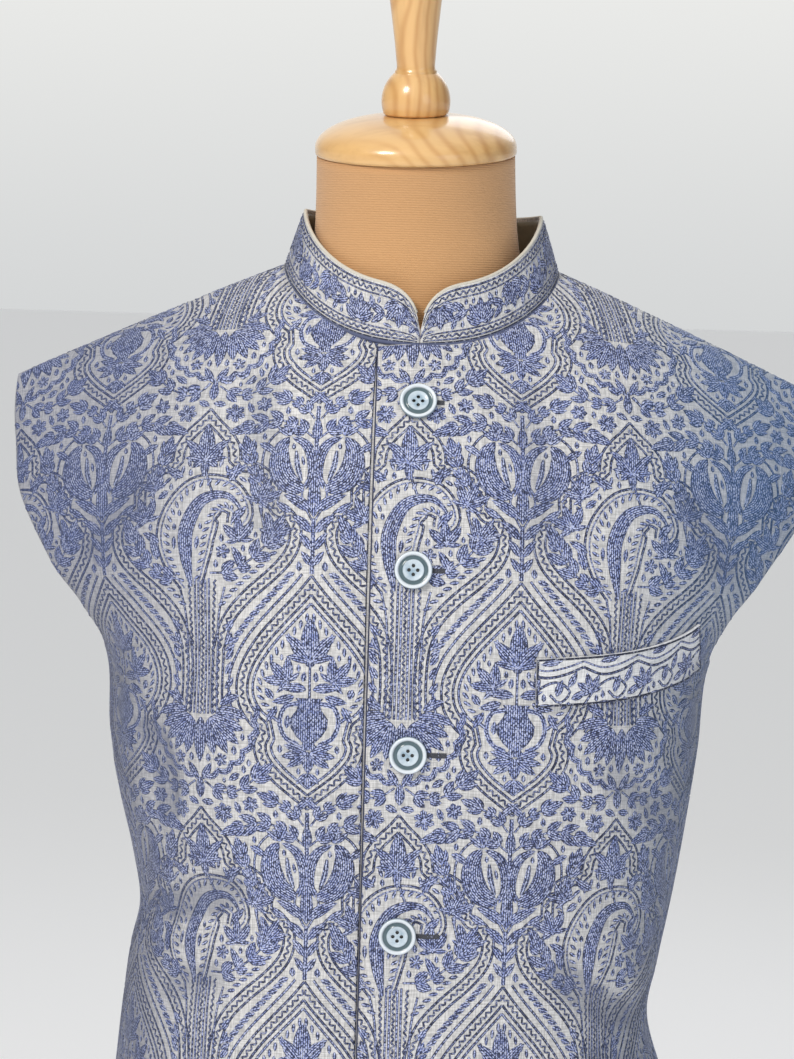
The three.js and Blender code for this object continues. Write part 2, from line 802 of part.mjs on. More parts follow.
const garment = new THREE.Group();
const frontLeft = named('front_left', frontGeometry(1, lapWidth, false), finish.cloth);
garment.add(frontLeft);
garment.add(named('front_right', frontGeometry(-1, underlapWidth, true), finish.cloth));
garment.add(named('back', backGeometry(), finish.cloth));
garment.add(named('collar', bandGeometry(0, clothThickness, 0), finish.collar));
const liningDepth = clothThickness + seamGap;
const lining = bandGeometry(liningDepth, liningThickness, liningSetBack);
garment.add(named('collar_lining', lining, finish.lining));
garment.add(named('pocket_welt', weltGeometry(frontLeft), finish.welt));
buttonRows.forEach((row, k) => {
  const button = named(`button_${k + 1}`, buttonGeometry(), finish.button);
  placeButton(button, frontLeft, row);
  garment.add(button);
});

const dressForm = new THREE.Group();
dressForm.add(named('form', formGeometry(), finish.jersey));
dressForm.add(named('base', baseGeometry(), finish.wood));

const turnings = new THREE.Group();
const neckTop = neckRows[neckRows.length - 1];
turnings.position.copy(neckMiddle(neckTop));
turnings.quaternion.copy(neckTurnOf(neckTop.tilt));
const cap = named('neck_cap', capGeometry(), finish.wood);
cap.position.z = seamGap;
const finial = named('finial', finialGeometry(), finish.wood);
finial.position.z = capHeight + 2 * seamGap;
turnings.add(cap, finial);
dressForm.add(turnings);

const waistcoat = new THREE.Group();
waistcoat.add(garment, dressForm);

export default waistcoat;
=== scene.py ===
import math

import bpy
import numpy as np
from mathutils import Matrix, Vector


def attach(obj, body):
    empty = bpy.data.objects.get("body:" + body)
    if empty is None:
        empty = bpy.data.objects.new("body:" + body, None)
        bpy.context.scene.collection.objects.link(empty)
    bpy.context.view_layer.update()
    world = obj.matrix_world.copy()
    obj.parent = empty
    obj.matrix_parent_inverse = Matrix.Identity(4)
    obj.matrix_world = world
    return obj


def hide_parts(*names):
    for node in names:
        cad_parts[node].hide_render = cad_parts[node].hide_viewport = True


MM = 0.001

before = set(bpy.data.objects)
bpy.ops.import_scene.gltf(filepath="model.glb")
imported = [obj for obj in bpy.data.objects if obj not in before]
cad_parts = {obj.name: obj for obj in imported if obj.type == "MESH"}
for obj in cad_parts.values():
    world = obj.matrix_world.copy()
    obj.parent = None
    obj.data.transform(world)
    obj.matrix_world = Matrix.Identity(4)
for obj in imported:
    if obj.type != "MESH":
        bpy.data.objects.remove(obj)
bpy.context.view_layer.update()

# Shape of the body, as in part.mjs: height at the side, right and left half widths, front and
# back depths and the squareness of the plan
BODY = np.array([
    [100, 187, 184, 126, 120, 2.2],
    [180, 182, 179, 124, 118, 2.2],
    [250, 176, 171, 120, 111, 2.25],
    [300, 171, 162, 116, 102, 2.3],
    [345, 167, 149, 113, 94, 2.35],
    [380, 163, 154, 112.5, 90, 2.4],
    [406, 158, 159, 114, 90.5, 2.4],
    [435, 162.5, 164, 118, 94, 2.4],
    [470, 171, 169, 123, 100, 2.45],
    [510, 178.5, 174, 128, 106.5, 2.45],
    [561, 183.5, 179, 130, 112, 2.35],
    [585, 207, 199, 130, 112, 2.15],
    [608, 233.5, 224, 130, 112, 2],
    [644, 251.5, 247.5, 130, 112, 1.9],
    [680, 246.5, 246, 130, 112, 1.9],
    [720, 240, 240, 130, 112, 1.95],
])
RIGHT, LEFT, FRONT, BACK, SQUARE = 1, 2, 3, 4, 5
CLOTH = 2.0
LINING = 1.0
GAP = 0.3
HEM = 100.0
LEVEL_TOP = 500.0
UNDERARM = 561.0
TIP = 720.0
RIDGE = 813.0
RIDGE_ROUND = 0.25
ARMHOLE_CUT = 62.0
NECK_HALF = 82.0
NECK_DEPTH = {FRONT: 75.0, BACK: 62.0}
ROUND_OVER = {FRONT: (2, 0.75), BACK: (4, 0.6)}
LAP = 24.0
UNDERLAP = 18.0
LAP_SINK_END = 52.0
LAP_LIFT = 0.9
BUTTONS = [(713, 0), (618, 0), (512, 0), (405, -3), (299, -2)]
BUTTON_RADIUS = 11.0

# Form, as in part.mjs: height at the side, half width, front and back depths, squareness
TORSO = np.array([
    [18.3, 160, 160, 98, 98, 2.2],
    [100, 164, 164, 102, 102, 2.2],
    [180, 163, 163, 104, 103, 2.2],
    [250, 156, 156, 102, 96, 2.25],
    [320, 143, 143, 98, 83, 2.35],
    [380, 139, 139, 97, 76, 2.4],
    [440, 149, 149, 104, 82, 2.4],
    [500, 162, 162, 113, 94, 2.5],
    [561, 171, 171, 119, 102, 2.3],
    [600, 186, 186, 119, 102, 2.1],
    [644, 205, 205, 119, 102, 2],
    [720, 216, 216, 119, 102, 2],
])
SEAT_GAP = 0.4
SHOULDER_SLOPE = 24.5
SEAT_DROP = (CLOTH + SEAT_GAP) / math.cos(math.radians(SHOULDER_SLOPE))
SEAT_FROM = 640.0
NECK_AXIS = -3.5
NECK_SIDE_LEAN = 0.03
NECK_LEAN_FROM = 790.0
# height, half width, depth, middle in Y, forward tilt in degrees
NECK = np.array([
    [735, 74, 58, -4, 0],
    [772, 68, 53, -5, 1],
    [792, 63, 52, -6, 3],
    [812, 60.5, 52, -8, 5],
    [832, 59.5, 53.5, -10.5, 7],
    [857, 59, 57, -14, 8.5],
])


def column_at(rows, column, at, key=0):
    """Smooth value of a table's column, a cubic through its rows."""
    keys = rows[:, key]
    values = rows[:, column]
    at = np.clip(at, keys[0], keys[-1])
    count = len(keys)
    k = np.clip(np.searchsorted(keys, at, side="left") - 1, 0, count - 2)
    before = np.maximum(np.arange(count) - 1, 0)
    after = np.minimum(np.arange(count) + 1, count - 1)
    slope = (values[after] - values[before]) / (keys[after] - keys[before])
    span = keys[k + 1] - keys[k]
    u = (at - keys[k]) / span
    rise = u * u * (3 - 2 * u)
    flat = values[k] * (1 - rise) + values[k + 1] * rise
    return flat + slope[k] * span * u * (1 - u) ** 2 - slope[k + 1] * span * u * u * (1 - u)


def smooth(value, low, high):
    u = np.clip((value - low) / (high - low), 0, 1)
    return u * u * (3 - 2 * u)


def run_of(line):
    """Length along a line, up to each of its points."""
    return np.concatenate([[0], np.cumsum(np.linalg.norm(np.diff(line, axis=0), axis=1))])


def grid_run(points, axis):
    """Length along each row or column of a grid, up to each of its points."""
    steps = np.linalg.norm(np.diff(points, axis=axis), axis=2)
    start = np.zeros_like(np.take(steps, [0], axis=axis))
    return np.concatenate([start, np.cumsum(steps, axis=axis)], axis=axis)


def middle_of(side):
    above = np.maximum(side - LEVEL_TOP, 0) / (TIP - LEVEL_TOP)
    return side + (RIDGE - TIP) * above ** 1.5


def lean_share(share):
    return (1 + RIDGE_ROUND) * share * share / (share + RIDGE_ROUND)


def depth_at(rows, face, side):
    depth = column_at(rows, face, side)
    start = middle_of(UNDERARM)
    share = np.clip((middle_of(side) - start) / (RIDGE - start), 0, 1)
    power, root = ROUND_OVER[face]
    rounded = depth * np.maximum(1 - share ** power, 0) ** root
    return np.where(side <= UNDERARM, depth, rounded)


def half_at(hand, side):
    return column_at(BODY, LEFT if hand > 0 else RIGHT, side)


def body_point(face, hand, side, turn):
    """Points of the body's surface, for arrays of side heights and turns in degrees."""
    side, turn = np.broadcast_arrays(np.asarray(side, float), np.asarray(turn, float))
    half = half_at(hand, side)
    power = 2 / column_at(BODY, SQUARE, side)
    angle = np.radians(np.abs(turn))
    way = np.where(turn < 0, -hand, hand)
    x = half * np.sin(angle) ** power
    y = depth_at(BODY, face, side) * np.maximum(np.cos(angle), 0) ** power + GAP / 2
    middle = middle_of(side)
    z = middle + (side - middle) * lean_share(x / half)
    return np.stack([way * x, -y if face == FRONT else y, z], axis=-1)


def body_normal(face, hand, side, turn):
    side, turn = np.broadcast_arrays(np.asarray(side, float), np.asarray(turn, float))
    step = 0.5
    low = np.maximum(side - step, HEM)
    high = np.minimum(side + step, TIP)
    inside = np.where(np.abs(turn) > 90 - step, turn - step, turn)
    across = body_point(face, hand, side, inside + step) - body_point(face, hand, side, inside - step)
    up = body_point(face, hand, high, turn) - body_point(face, hand, low, turn)
    normal = np.cross(across, up) * (hand if face == FRONT else -hand)
    seam = (side >= TIP) | ((turn >= 90) & (side <= UNDERARM))
    normal[..., 1] = np.where(seam, 0, normal[..., 1])
    return normal / np.linalg.norm(normal, axis=-1, keepdims=True)


def turn_across(hand, side, across):
    half = half_at(hand, side)
    square = column_at(BODY, SQUARE, side)
    angle = np.arcsin(np.minimum(np.abs(across) / half, 1) ** (square / 2))
    return np.degrees(angle) * np.sign(across)


def close_on(test, low, high):
    """Halves intervals until they close on where a rising test passes nought."""
    low, high = np.broadcast_arrays(np.asarray(low, float), np.asarray(high, float))
    for _ in range(45):
        middle = (low + high) / 2
        below = test(middle) < 0
        low = np.where(below, middle, low)
        high = np.where(below, high, middle)
    return (low + high) / 2


def neck_turn(face, hand, side):
    def outside(turn):
        point = body_point(face, hand, side, turn)
        y = np.abs(point[..., 1]) - GAP / 2
        return (point[..., 0] / NECK_HALF) ** 2 + (y / NECK_DEPTH[face]) ** 2 - 1

    side = np.asarray(side, float)
    found = close_on(outside, np.zeros_like(side), np.full_like(side, 80.0))
    return np.where(outside(np.zeros_like(side)) > -0.002, 0, found)


def edge_turn(side):
    share = np.maximum(side - UNDERARM, 0) / (TIP - UNDERARM)
    return 90 - ARMHOLE_CUT * np.sqrt(share) * (1 - share)


def neck_row(face):
    return float(close_on(lambda s: NECK_DEPTH[face] - depth_at(BODY, face, s), UNDERARM, TIP))


# Soft troughs and ridges of the cloth: face, a path of (x, z) points, width and height. A height
# below nought is a trough.
FOLDS = [
    (FRONT, [(-168, 531), (-158, 523), (-146, 511), (-140, 492), (-139, 473), (-144, 452)], 8, -3.2),
    (FRONT, [(-178, 500), (-166, 492), (-158, 476), (-156, 458)], 10, 1.6),
    (FRONT, [(-158, 404), (-132, 412), (-104, 424), (-84, 440)], 13, -2.6),
    (FRONT, [(-158, 386), (-128, 392), (-100, 402)], 12, 1.6),
    (FRONT, [(-150, 356), (-120, 372), (-92, 380)], 13, -1.8),
    (FRONT, [(150, 342), (126, 356), (100, 376), (82, 400)], 12, -2.6),
    (FRONT, [(156, 366), (130, 384), (106, 408), (92, 436)], 12, 1.8),
    (FRONT, [(152, 318), (126, 326), (102, 340)], 12, -1.6),
    (FRONT, [(166, 470), (146, 478), (126, 494), (112, 520)], 13, -1.6),
    (FRONT, [(-204, 602), (-186, 622), (-166, 650), (-150, 684)], 15, -1.7),
    (FRONT, [(198, 600), (182, 622), (164, 650), (150, 680)], 15, -1.7),
    (FRONT, [(-96, 300), (-92, 240), (-98, 170), (-104, 110)], 20, 1.8),
    (FRONT, [(-58, 280), (-60, 220), (-58, 150), (-60, 105)], 18, -1.6),
    (FRONT, [(84, 290), (90, 220), (92, 150), (98, 108)], 20, 1.8),
    (FRONT, [(52, 270), (54, 200), (58, 130)], 17, -1.4),
    (FRONT, [(-60, 560), (-66, 520), (-64, 480)], 18, -1.1),
    (FRONT, [(62, 752), (64, 710), (74, 660), (76, 600)], 18, -1.4),
    (FRONT, [(100, 745), (104, 700), (112, 645)], 17, 1.9),
    (FRONT, [(34, 725), (36, 690), (42, 640)], 13, 1.0),
    (FRONT, [(-90, 757), (-92, 712), (-84, 660), (-82, 600)], 19, -1.5),
    (FRONT, [(-58, 740), (-58, 690), (-54, 630)], 15, 1.6),
    (FRONT, [(-126, 735), (-126, 690), (-118, 640)], 17, 1.9),
    (FRONT, [(-176, 590), (-160, 560), (-152, 520)], 13, 2.0),
    (FRONT, [(178, 588), (164, 556), (156, 520)], 13, 1.8),
    (BACK, [(-150, 404), (-118, 410), (-76, 404), (-36, 398)], 14, -2.4),
    (BACK, [(-146, 380), (-110, 378), (-70, 372), (-30, 376)], 13, 1.8),
    (BACK, [(146, 350), (112, 362), (70, 372), (24, 380)], 14, -2.4),
    (BACK, [(150, 376), (116, 390), (72, 398), (34, 400)], 13, 1.7),
    (BACK, [(-140, 356), (-100, 348), (-50, 350)], 13, -1.6),
    (BACK, [(-192, 606), (-168, 634), (-150, 664)], 15, -1.8),
    (BACK, [(188, 606), (166, 634), (148, 664)], 15, -1.8),
    (BACK, [(-80, 300), (-84, 230), (-90, 150), (-92, 106)], 20, 1.8),
    (BACK, [(80, 300), (84, 230), (92, 150), (96, 106)], 20, 1.8),
    (BACK, [(0, 300), (2, 230), (0, 150), (-2, 104)], 22, -1.6),
    (BACK, [(-52, 720), (0, 708), (52, 720)], 14, -1.2),
    (BACK, [(-154, 470), (-136, 500), (-130, 540)], 14, -1.6),
    (BACK, [(152, 470), (134, 500), (128, 540)], 14, -1.6),
]
FOLD_FADE = 0.3  # share of a fold's length over which each end fades out


def fold_height(face, points):
    """How far the cloth stands out of, or in from, the body's surface at these points."""
    x = points[..., 0]
    z = points[..., 2]
    total = np.zeros(x.shape)
    for fold_face, path, width, height in FOLDS:
        if fold_face != face:
            continue
        path = np.asarray(path, float)
        begin = run_of(path)
        lengths = np.diff(begin)
        best = np.full(x.shape, 1e9)
        along = np.zeros(x.shape)
        for k in range(len(path) - 1):
            step = path[k + 1] - path[k]
            share = ((x - path[k, 0]) * step[0] + (z - path[k, 1]) * step[1]) / (step @ step)
            share = np.clip(share, 0, 1)
            away = np.hypot(x - path[k, 0] - share * step[0], z - path[k, 1] - share * step[1])
            nearer = away < best
            best = np.where(nearer, away, best)
            along = np.where(nearer, begin[k] + share * lengths[k], along)
        share = along / begin[-1]
        ends = smooth(share, 0, FOLD_FADE) * smooth(1 - share, 0, FOLD_FADE)
        total += height * ends * np.exp(-(best / width) ** 2)
    return total


# A seam holds the cloth within this many degrees of a side or the neck, or millimetres of a shoulder
HELD_SIDE = 9
HELD_SHOULDER = 16
HELD_NECK = 12


def edge_hold(face, side, turn, from_turn, to_turn):
    """Nought at seams and armholes, where the cloth is held, rising to one inside the panel."""
    from_side = smooth(to_turn - turn, 0, HELD_SIDE)
    from_shoulder = smooth(TIP - side, 0, HELD_SHOULDER)
    near_neck = side > neck_row(face) - HELD_NECK
    from_neck = np.where(near_neck, smooth(turn - from_turn, 0, HELD_NECK), 1)
    return from_side * from_shoulder * from_neck


LOWER_ROWS = 96
UPPER_ROWS = 34
NECK_ROWS = 26
COLUMNS = 50
LAP_COLUMNS = 4
# A panel is laid flat on every few rows and columns first, then on all of them
COARSE_ROWS = 4
COARSE_COLUMNS = 5
COARSE_ROUNDS = 900
FINE_ROUNDS = 160
RASTER_CELL = 1.5
RASTER_SPREAD = 14  # cells past the cloth's edge
RASTER_MARGIN = 24


def eased(count):
    """Shares up to one that are closer together at both ends."""
    return (1 - np.cos(np.pi * np.arange(1, count + 1) / count)) / 2


def fine_rows(face):
    neck = neck_row(face)
    lower = np.linspace(HEM, UNDERARM, LOWER_ROWS + 1)
    upper = np.linspace(UNDERARM, neck, UPPER_ROWS + 1)[1:]
    return np.concatenate([lower, upper, neck + (TIP - neck) * eased(NECK_ROWS)])


class Panel:
    """A cut panel: a grid of outer points, their normals and their places in the flat cloth."""

    def __init__(self, face, hand, lap=0.0, sinks=False):
        self.face = face
        self.hand = hand
        rows = fine_rows(face)
        self.neck_index = LOWER_ROWS + UPPER_ROWS
        start = neck_turn(face, hand, rows)
        start[: self.neck_index + 1] = 0
        end = edge_turn(rows)
        share = np.linspace(0, 1, COLUMNS + 1)
        turn = start[:, None] + (end - start)[:, None] * share[None, :]
        side = np.repeat(rows[:, None], COLUMNS + 1, axis=1)
        self.lap_columns = LAP_COLUMNS if lap else 0
        if lap:
            across = -lap * (1 - np.arange(LAP_COLUMNS) / LAP_COLUMNS)
            lap_side = np.repeat(rows[:, None], LAP_COLUMNS, axis=1)
            lap_turn = turn_across(hand, lap_side, np.broadcast_to(across, lap_side.shape))
            turn = np.concatenate([lap_turn, turn], axis=1)
            side = np.concatenate([lap_side, side], axis=1)
        self.side = side
        self.turn = turn
        outer = body_point(face, hand, side, turn)
        normal = body_normal(face, hand, side, turn)
        hold = edge_hold(face, side, np.abs(turn), start[:, None], end[:, None])
        height = fold_height(face, outer) * hold
        if sinks:
            past = smooth(np.abs(outer[..., 0]), LAP, LAP_SINK_END)
            height = height - (CLOTH + GAP) * (1 - past)
        if lap and not sinks:
            height = height + LAP_LIFT * smooth(-hand * outer[..., 0], LAP - 10, LAP)
        self.points = outer + normal * height[..., None]
        self.normals = normal
        shape = turn.shape
        self.solid = np.ones((shape[0] - 1, shape[1] - 1), bool)
        if lap:
            self.solid[self.neck_index:, :LAP_COLUMNS] = False
        self.flatten(lap)

    def flatten(self, lap):
        """Lays the panel flat: each grid point gets its place in the uncut cloth."""
        main = self.points[:, self.lap_columns:]
        front_line = run_of(main[:, 0])
        neck = self.neck_index
        u = grid_run(main, 1)
        u[neck + 1:] += np.abs(main[neck + 1:, :1, 0])
        rise = np.linalg.norm(np.diff(main, axis=0), axis=2)
        gain = np.sqrt(np.maximum(rise ** 2 - np.diff(u, axis=0) ** 2, (0.3 * rise) ** 2))
        v = np.concatenate([np.zeros((1, u.shape[1])), np.cumsum(gain, axis=0)], axis=0)
        flat = np.stack([u, v], axis=-1)
        pinned = np.zeros(u.shape, bool)
        pinned[: neck + 1, 0] = True
        flat[: neck + 1, 0, 0] = 0
        flat[: neck + 1, 0, 1] = front_line[: neck + 1]
        rows = np.arange(0, len(main), COARSE_ROWS)
        rows = np.unique(np.concatenate([rows, [neck, len(main) - 1]]))
        columns = np.arange(0, COLUMNS + 1, COARSE_COLUMNS)
        some = np.ix_(rows, columns)
        change = relax(flat[some], main[some], pinned[some], COARSE_ROUNDS) - flat[some]
        flat = flat + spread(change, rows, columns, flat.shape[:2])
        flat[pinned] = np.stack([np.zeros(neck + 1), front_line[: neck + 1]], axis=-1)
        flat = relax(flat, main, pinned, FINE_ROUNDS)
        if self.lap_columns:
            across = -lap * (1 - np.arange(LAP_COLUMNS) / LAP_COLUMNS)
            lap_flat = np.zeros((len(main), LAP_COLUMNS, 2))
            lap_flat[..., 0] = across
            lap_flat[..., 1] = front_line[:, None]
            flat = np.concatenate([lap_flat, flat], axis=1)
        flat[..., 0] *= self.hand
        self.flat = flat
        self.front_line = front_line

    def height_to_flat(self, height):
        """V of the flat cloth where the middle line is at this height."""
        line = self.points[: self.neck_index + 1, self.lap_columns, 2]
        return float(np.interp(height, line, self.front_line[: self.neck_index + 1]))

    def area(self):
        p = self.flat[1:, 1:] - self.flat[:-1, :-1]
        q = self.flat[1:, :-1] - self.flat[:-1, 1:]
        quads = np.abs(p[..., 0] * q[..., 1] - p[..., 1] * q[..., 0]) / 2
        return float(quads[self.solid].sum())

    def size(self):
        row, column = np.nonzero(self.solid)
        corners = [self.flat[row + down, column + across] for down in (0, 1) for across in (0, 1)]
        return np.ptp(np.concatenate(corners), axis=0)

    def raster(self, keep_from=None):
        """Grid row and column for each cell of the flat cloth, filled a little past its edges."""
        low = self.flat.min(axis=(0, 1)) - RASTER_MARGIN
        high = self.flat.max(axis=(0, 1)) + RASTER_MARGIN
        count = np.ceil((high - low) / RASTER_CELL).astype(int) + 1
        place = np.full((count[0], count[1], 2), np.nan)
        flat = (self.flat - low) / RASTER_CELL
        for r, c in np.argwhere(self.solid):
            corners = [(r, c), (r, c + 1), (r + 1, c + 1), (r + 1, c)]
            for trio in ((0, 1, 2), (0, 2, 3)):
                tri = np.array([flat[corners[k]] for k in trio])
                where = np.array([corners[k] for k in trio], float)
                first = np.ceil(tri.min(axis=0) - 1e-6).astype(int)
                last = np.floor(tri.max(axis=0) + 1e-6).astype(int)
                if (last < first).any():
                    continue
                gx, gy = np.meshgrid(
                    np.arange(first[0], last[0] + 1), np.arange(first[1], last[1] + 1), indexing="ij"
                )
                e1 = tri[1] - tri[0]
                e2 = tri[2] - tri[0]
                det = e1[0] * e2[1] - e1[1] * e2[0]
                if abs(det) < 1e-9:
                    continue
                dx = gx - tri[0, 0]
                dy = gy - tri[0, 1]
                s = (dx * e2[1] - dy * e2[0]) / det
                t = (dy * e1[0] - dx * e1[1]) / det
                inside = (s >= -1e-6) & (t >= -1e-6) & (s + t <= 1 + 1e-6)
                if not inside.any():
                    continue
                value = where[0] + s[..., None] * (where[1] - where[0])
                value = value + t[..., None] * (where[2] - where[0])
                place[gx[inside], gy[inside]] = value[inside]
        if keep_from is not None:
            u = low[0] + RASTER_CELL * np.arange(count[0])
            place[u * self.hand < keep_from] = np.nan
        within = ~np.isnan(place[..., 0])
        for _ in range(RASTER_SPREAD):
            empty = np.isnan(place[..., 0])
            total = np.zeros_like(place)
            number = np.zeros(empty.shape)
            filled = np.where(empty[..., None], 0, place)
            known = (~empty).astype(float)
            for axis, shift in ((0, 1), (0, -1), (1, 1), (1, -1)):
                total += np.roll(filled, shift, axis=axis)
                number += np.roll(known, shift, axis=axis)
            grow = empty & (number > 0)
            place[grow] = total[grow] / number[grow][:, None]
        self.low = low
        self.place = place
        self.within = within

    def locate(self, flat):
        """Grid row and column, and whether the place is in the cloth, for places in the flat."""
        at = (flat - self.low) / RASTER_CELL
        limit = np.array(self.place.shape[:2]) - 2
        base = np.clip(np.floor(at).astype(int), 0, limit)
        share = np.clip(at - base, 0, 1)
        result = np.zeros(flat.shape)
        inside = np.zeros(len(flat))
        for di in (0, 1):
            for dj in (0, 1):
                weight = (share[:, 0] if di else 1 - share[:, 0]) * (share[:, 1] if dj else 1 - share[:, 1])
                result += self.place[base[:, 0] + di, base[:, 1] + dj] * weight[:, None]
                inside += self.within[base[:, 0] + di, base[:, 1] + dj] * weight
        return result, inside > 0.5


def sample(grid, where):
    """Values of a grid between its rows and columns."""
    limit = np.array(grid.shape[:2]) - 2
    base = np.clip(np.floor(where).astype(int), 0, limit)
    share = np.clip(where - base, 0, 1)
    r, c = base[:, 0], base[:, 1]
    fr, fc = share[:, :1], share[:, 1:]
    low = grid[r, c] * (1 - fc) + grid[r, c + 1] * fc
    high = grid[r + 1, c] * (1 - fc) + grid[r + 1, c + 1] * fc
    return low * (1 - fr) + high * fr


def lifted(surface, where, height):
    """Points in space, for grid rows and columns and heights above the cloth."""
    return sample(surface.points, where) + sample(surface.normals, where) * height[:, None]


def spread(change, rows, columns, shape):
    """A coarse grid's change carried smoothly to the fine grid."""
    by_row = np.empty((shape[0], len(columns), 2))
    for c in range(len(columns)):
        for k in range(2):
            by_row[:, c, k] = np.interp(np.arange(shape[0]), rows, change[:, c, k])
    full = np.empty((*shape, 2))
    for r in range(shape[0]):
        for k in range(2):
            full[r, :, k] = np.interp(np.arange(shape[1]), columns, by_row[r, :, k])
    return full


def relax(flat, points, pinned, rounds):
    """Pulls a flat grid until its edges are as long as those in space."""
    flat = flat.copy()
    pairs = [
        ((slice(None), slice(0, -1)), (slice(None), slice(1, None))),
        ((slice(0, -1), slice(None)), (slice(1, None), slice(None))),
        ((slice(0, -1), slice(0, -1)), (slice(1, None), slice(1, None))),
        ((slice(0, -1), slice(1, None)), (slice(1, None), slice(0, -1))),
    ]
    lengths = [np.linalg.norm(points[b] - points[a], axis=-1) for a, b in pairs]
    count = np.zeros(flat.shape[:2])
    for a, b in pairs:
        count[a] += 1
        count[b] += 1
    free = (~pinned)[..., None] / count[..., None]
    for _ in range(rounds):
        move = np.zeros_like(flat)
        for (a, b), length in zip(pairs, lengths):
            step = flat[b] - flat[a]
            now = np.maximum(np.linalg.norm(step, axis=-1), 1e-6)
            pull = step * ((now - length) / now * 0.5)[..., None]
            move[a] += pull
            move[b] -= pull
        flat += move * free * 1.5
    return flat


def mesh_object(mesh, material):
    """A smooth object that shows a mesh in this material."""
    mesh.polygons.foreach_set("use_smooth", np.ones(len(mesh.polygons), bool))
    mesh.materials.append(material)
    piece = bpy.data.objects.new(mesh.name, mesh)
    bpy.context.scene.collection.objects.link(piece)
    return piece


def add_mesh(name, points, faces, material):
    """A mesh from numpy arrays in millimetres. faces are rows of three or four corners."""
    mesh = bpy.data.meshes.new(name)
    points = np.asarray(points, np.float32) * MM
    faces = np.asarray(faces, np.int32)
    corners = faces.shape[1]
    mesh.vertices.add(len(points))
    mesh.vertices.foreach_set("co", points.ravel())
    mesh.loops.add(faces.size)
    mesh.loops.foreach_set("vertex_index", faces.ravel())
    mesh.polygons.add(len(faces))
    mesh.polygons.foreach_set("loop_start", np.arange(0, faces.size, corners, dtype=np.int32))
    mesh.update(calc_edges=True)
    mesh.validate()
    return mesh_object(mesh, material)


def add_uv(mesh, name, per_point):
    """A UV map that gives each corner its point's value."""
    layer = mesh.uv_layers.new(name=name)
    index = np.empty(len(mesh.loops), np.int32)
    mesh.loops.foreach_get("vertex_index", index)
    layer.data.foreach_set("uv", np.asarray(per_point, np.float32)[index].ravel())


def add_value(mesh, name, per_point):
    layer = mesh.attributes.new(name=name, type="FLOAT", domain="POINT")
    layer.data.foreach_set("value", np.asarray(per_point, np.float32))


def belongs(piece, slot_name, *nodes):
    """The piece rides on the one body and stands for these nodes, which are hidden. slot_name is not used.
    """
    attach(piece, "root")
    if nodes:
        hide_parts(*nodes)
    return piece


class Nodes:
    """Short calls for building the nodes of a material or world."""

    def __init__(self, owner):
        owner.use_nodes = True
        self.owner = owner
        self.tree = owner.node_tree
        self.shader = self.tree.nodes.get("Principled BSDF")

    def node(self, kind, **values):
        made = self.tree.nodes.new(kind)
        for key, value in values.items():
            setattr(made, key, value)
        return made

    def feed(self, socket, value):
        if isinstance(value, bpy.types.NodeSocket):
            self.tree.links.new(value, socket)
        else:
            socket.default_value = value

    def math(self, operation, a, b=0.0, c=0.0):
        made = self.node("ShaderNodeMath", operation=operation)
        for socket, value in zip(made.inputs, (a, b, c)):
            self.feed(socket, value)
        return made.outputs[0]

    def add(self, a, b):
        return self.math("ADD", a, b)

    def times(self, a, b):
        return self.math("MULTIPLY", a, b)

    def power(self, a, b):
        return self.math("POWER", a, b)

    def wave(self, value, length):
        """A sine of this length along a value."""
        return self.math("SINE", self.times(value, 2 * math.pi / length))

    def value_of(self, name):
        """A value that each point of the mesh carries."""
        return self.node("ShaderNodeAttribute", attribute_name=name).outputs["Fac"]

    def split(self, vector):
        made = self.node("ShaderNodeSeparateXYZ")
        self.feed(made.inputs[0], vector)
        return made.outputs

    def mix(self, share, a, b):
        made = self.node("ShaderNodeMix", data_type="RGBA")
        self.feed(made.inputs[0], share)
        self.feed(made.inputs[6], a)
        self.feed(made.inputs[7], b)
        return made.outputs[2]

    def range(self, value, low, high, to_low=0.0, to_high=1.0):
        made = self.node("ShaderNodeMapRange", interpolation_type="SMOOTHSTEP")
        self.feed(made.inputs[0], value)
        for socket, number in zip(made.inputs[1:5], (low, high, to_low, to_high)):
            self.feed(socket, number)
        return made.outputs[0]

    def uv(self, name):
        vector = self.node("ShaderNodeUVMap", uv_map=name).outputs[0]
        parts = self.split(vector)
        return vector, parts[0], parts[1]

    def place(self):
        vector = self.node("ShaderNodeNewGeometry").outputs["Position"]
        return vector, self.split(vector)

    def noise(self, vector, scale, detail=2.0, rough=0.5, stretch=None):
        if stretch is not None:
            mapping = self.node("ShaderNodeMapping")
            self.feed(mapping.inputs[0], vector)
            mapping.inputs["Scale"].default_value = stretch
            vector = mapping.outputs[0]
        made = self.node("ShaderNodeTexNoise")
        self.feed(made.inputs["Vector"], vector)
        made.inputs["Scale"].default_value = scale
        made.inputs["Detail"].default_value = detail
        made.inputs["Roughness"].default_value = rough
        return made.outputs[0]

    def bump(self, height, strength, distance):
        made = self.node("ShaderNodeBump")
        made.inputs["Strength"].default_value = strength
        made.inputs["Distance"].default_value = distance
        self.feed(made.inputs["Height"], height)
        self.feed(self.shader.inputs["Normal"], made.outputs[0])

    def finish(self, color, rough, **sockets):
        self.feed(self.shader.inputs["Base Color"], color)
        self.feed(self.shader.inputs["Roughness"], rough)
        for key, value in sockets.items():
            self.shader.inputs[key.replace("_", " ")].default_value = value
        return self.owner


def rgb(code):
    """Linear colour from a hexadecimal one."""
    parts = [int(code[k: k + 2], 16) / 255 for k in (0, 2, 4)]
    linear = [p / 12.92 if p <= 0.04045 else ((p + 0.055) / 1.055) ** 2.4 for p in parts]
    return (*linear, 1.0)


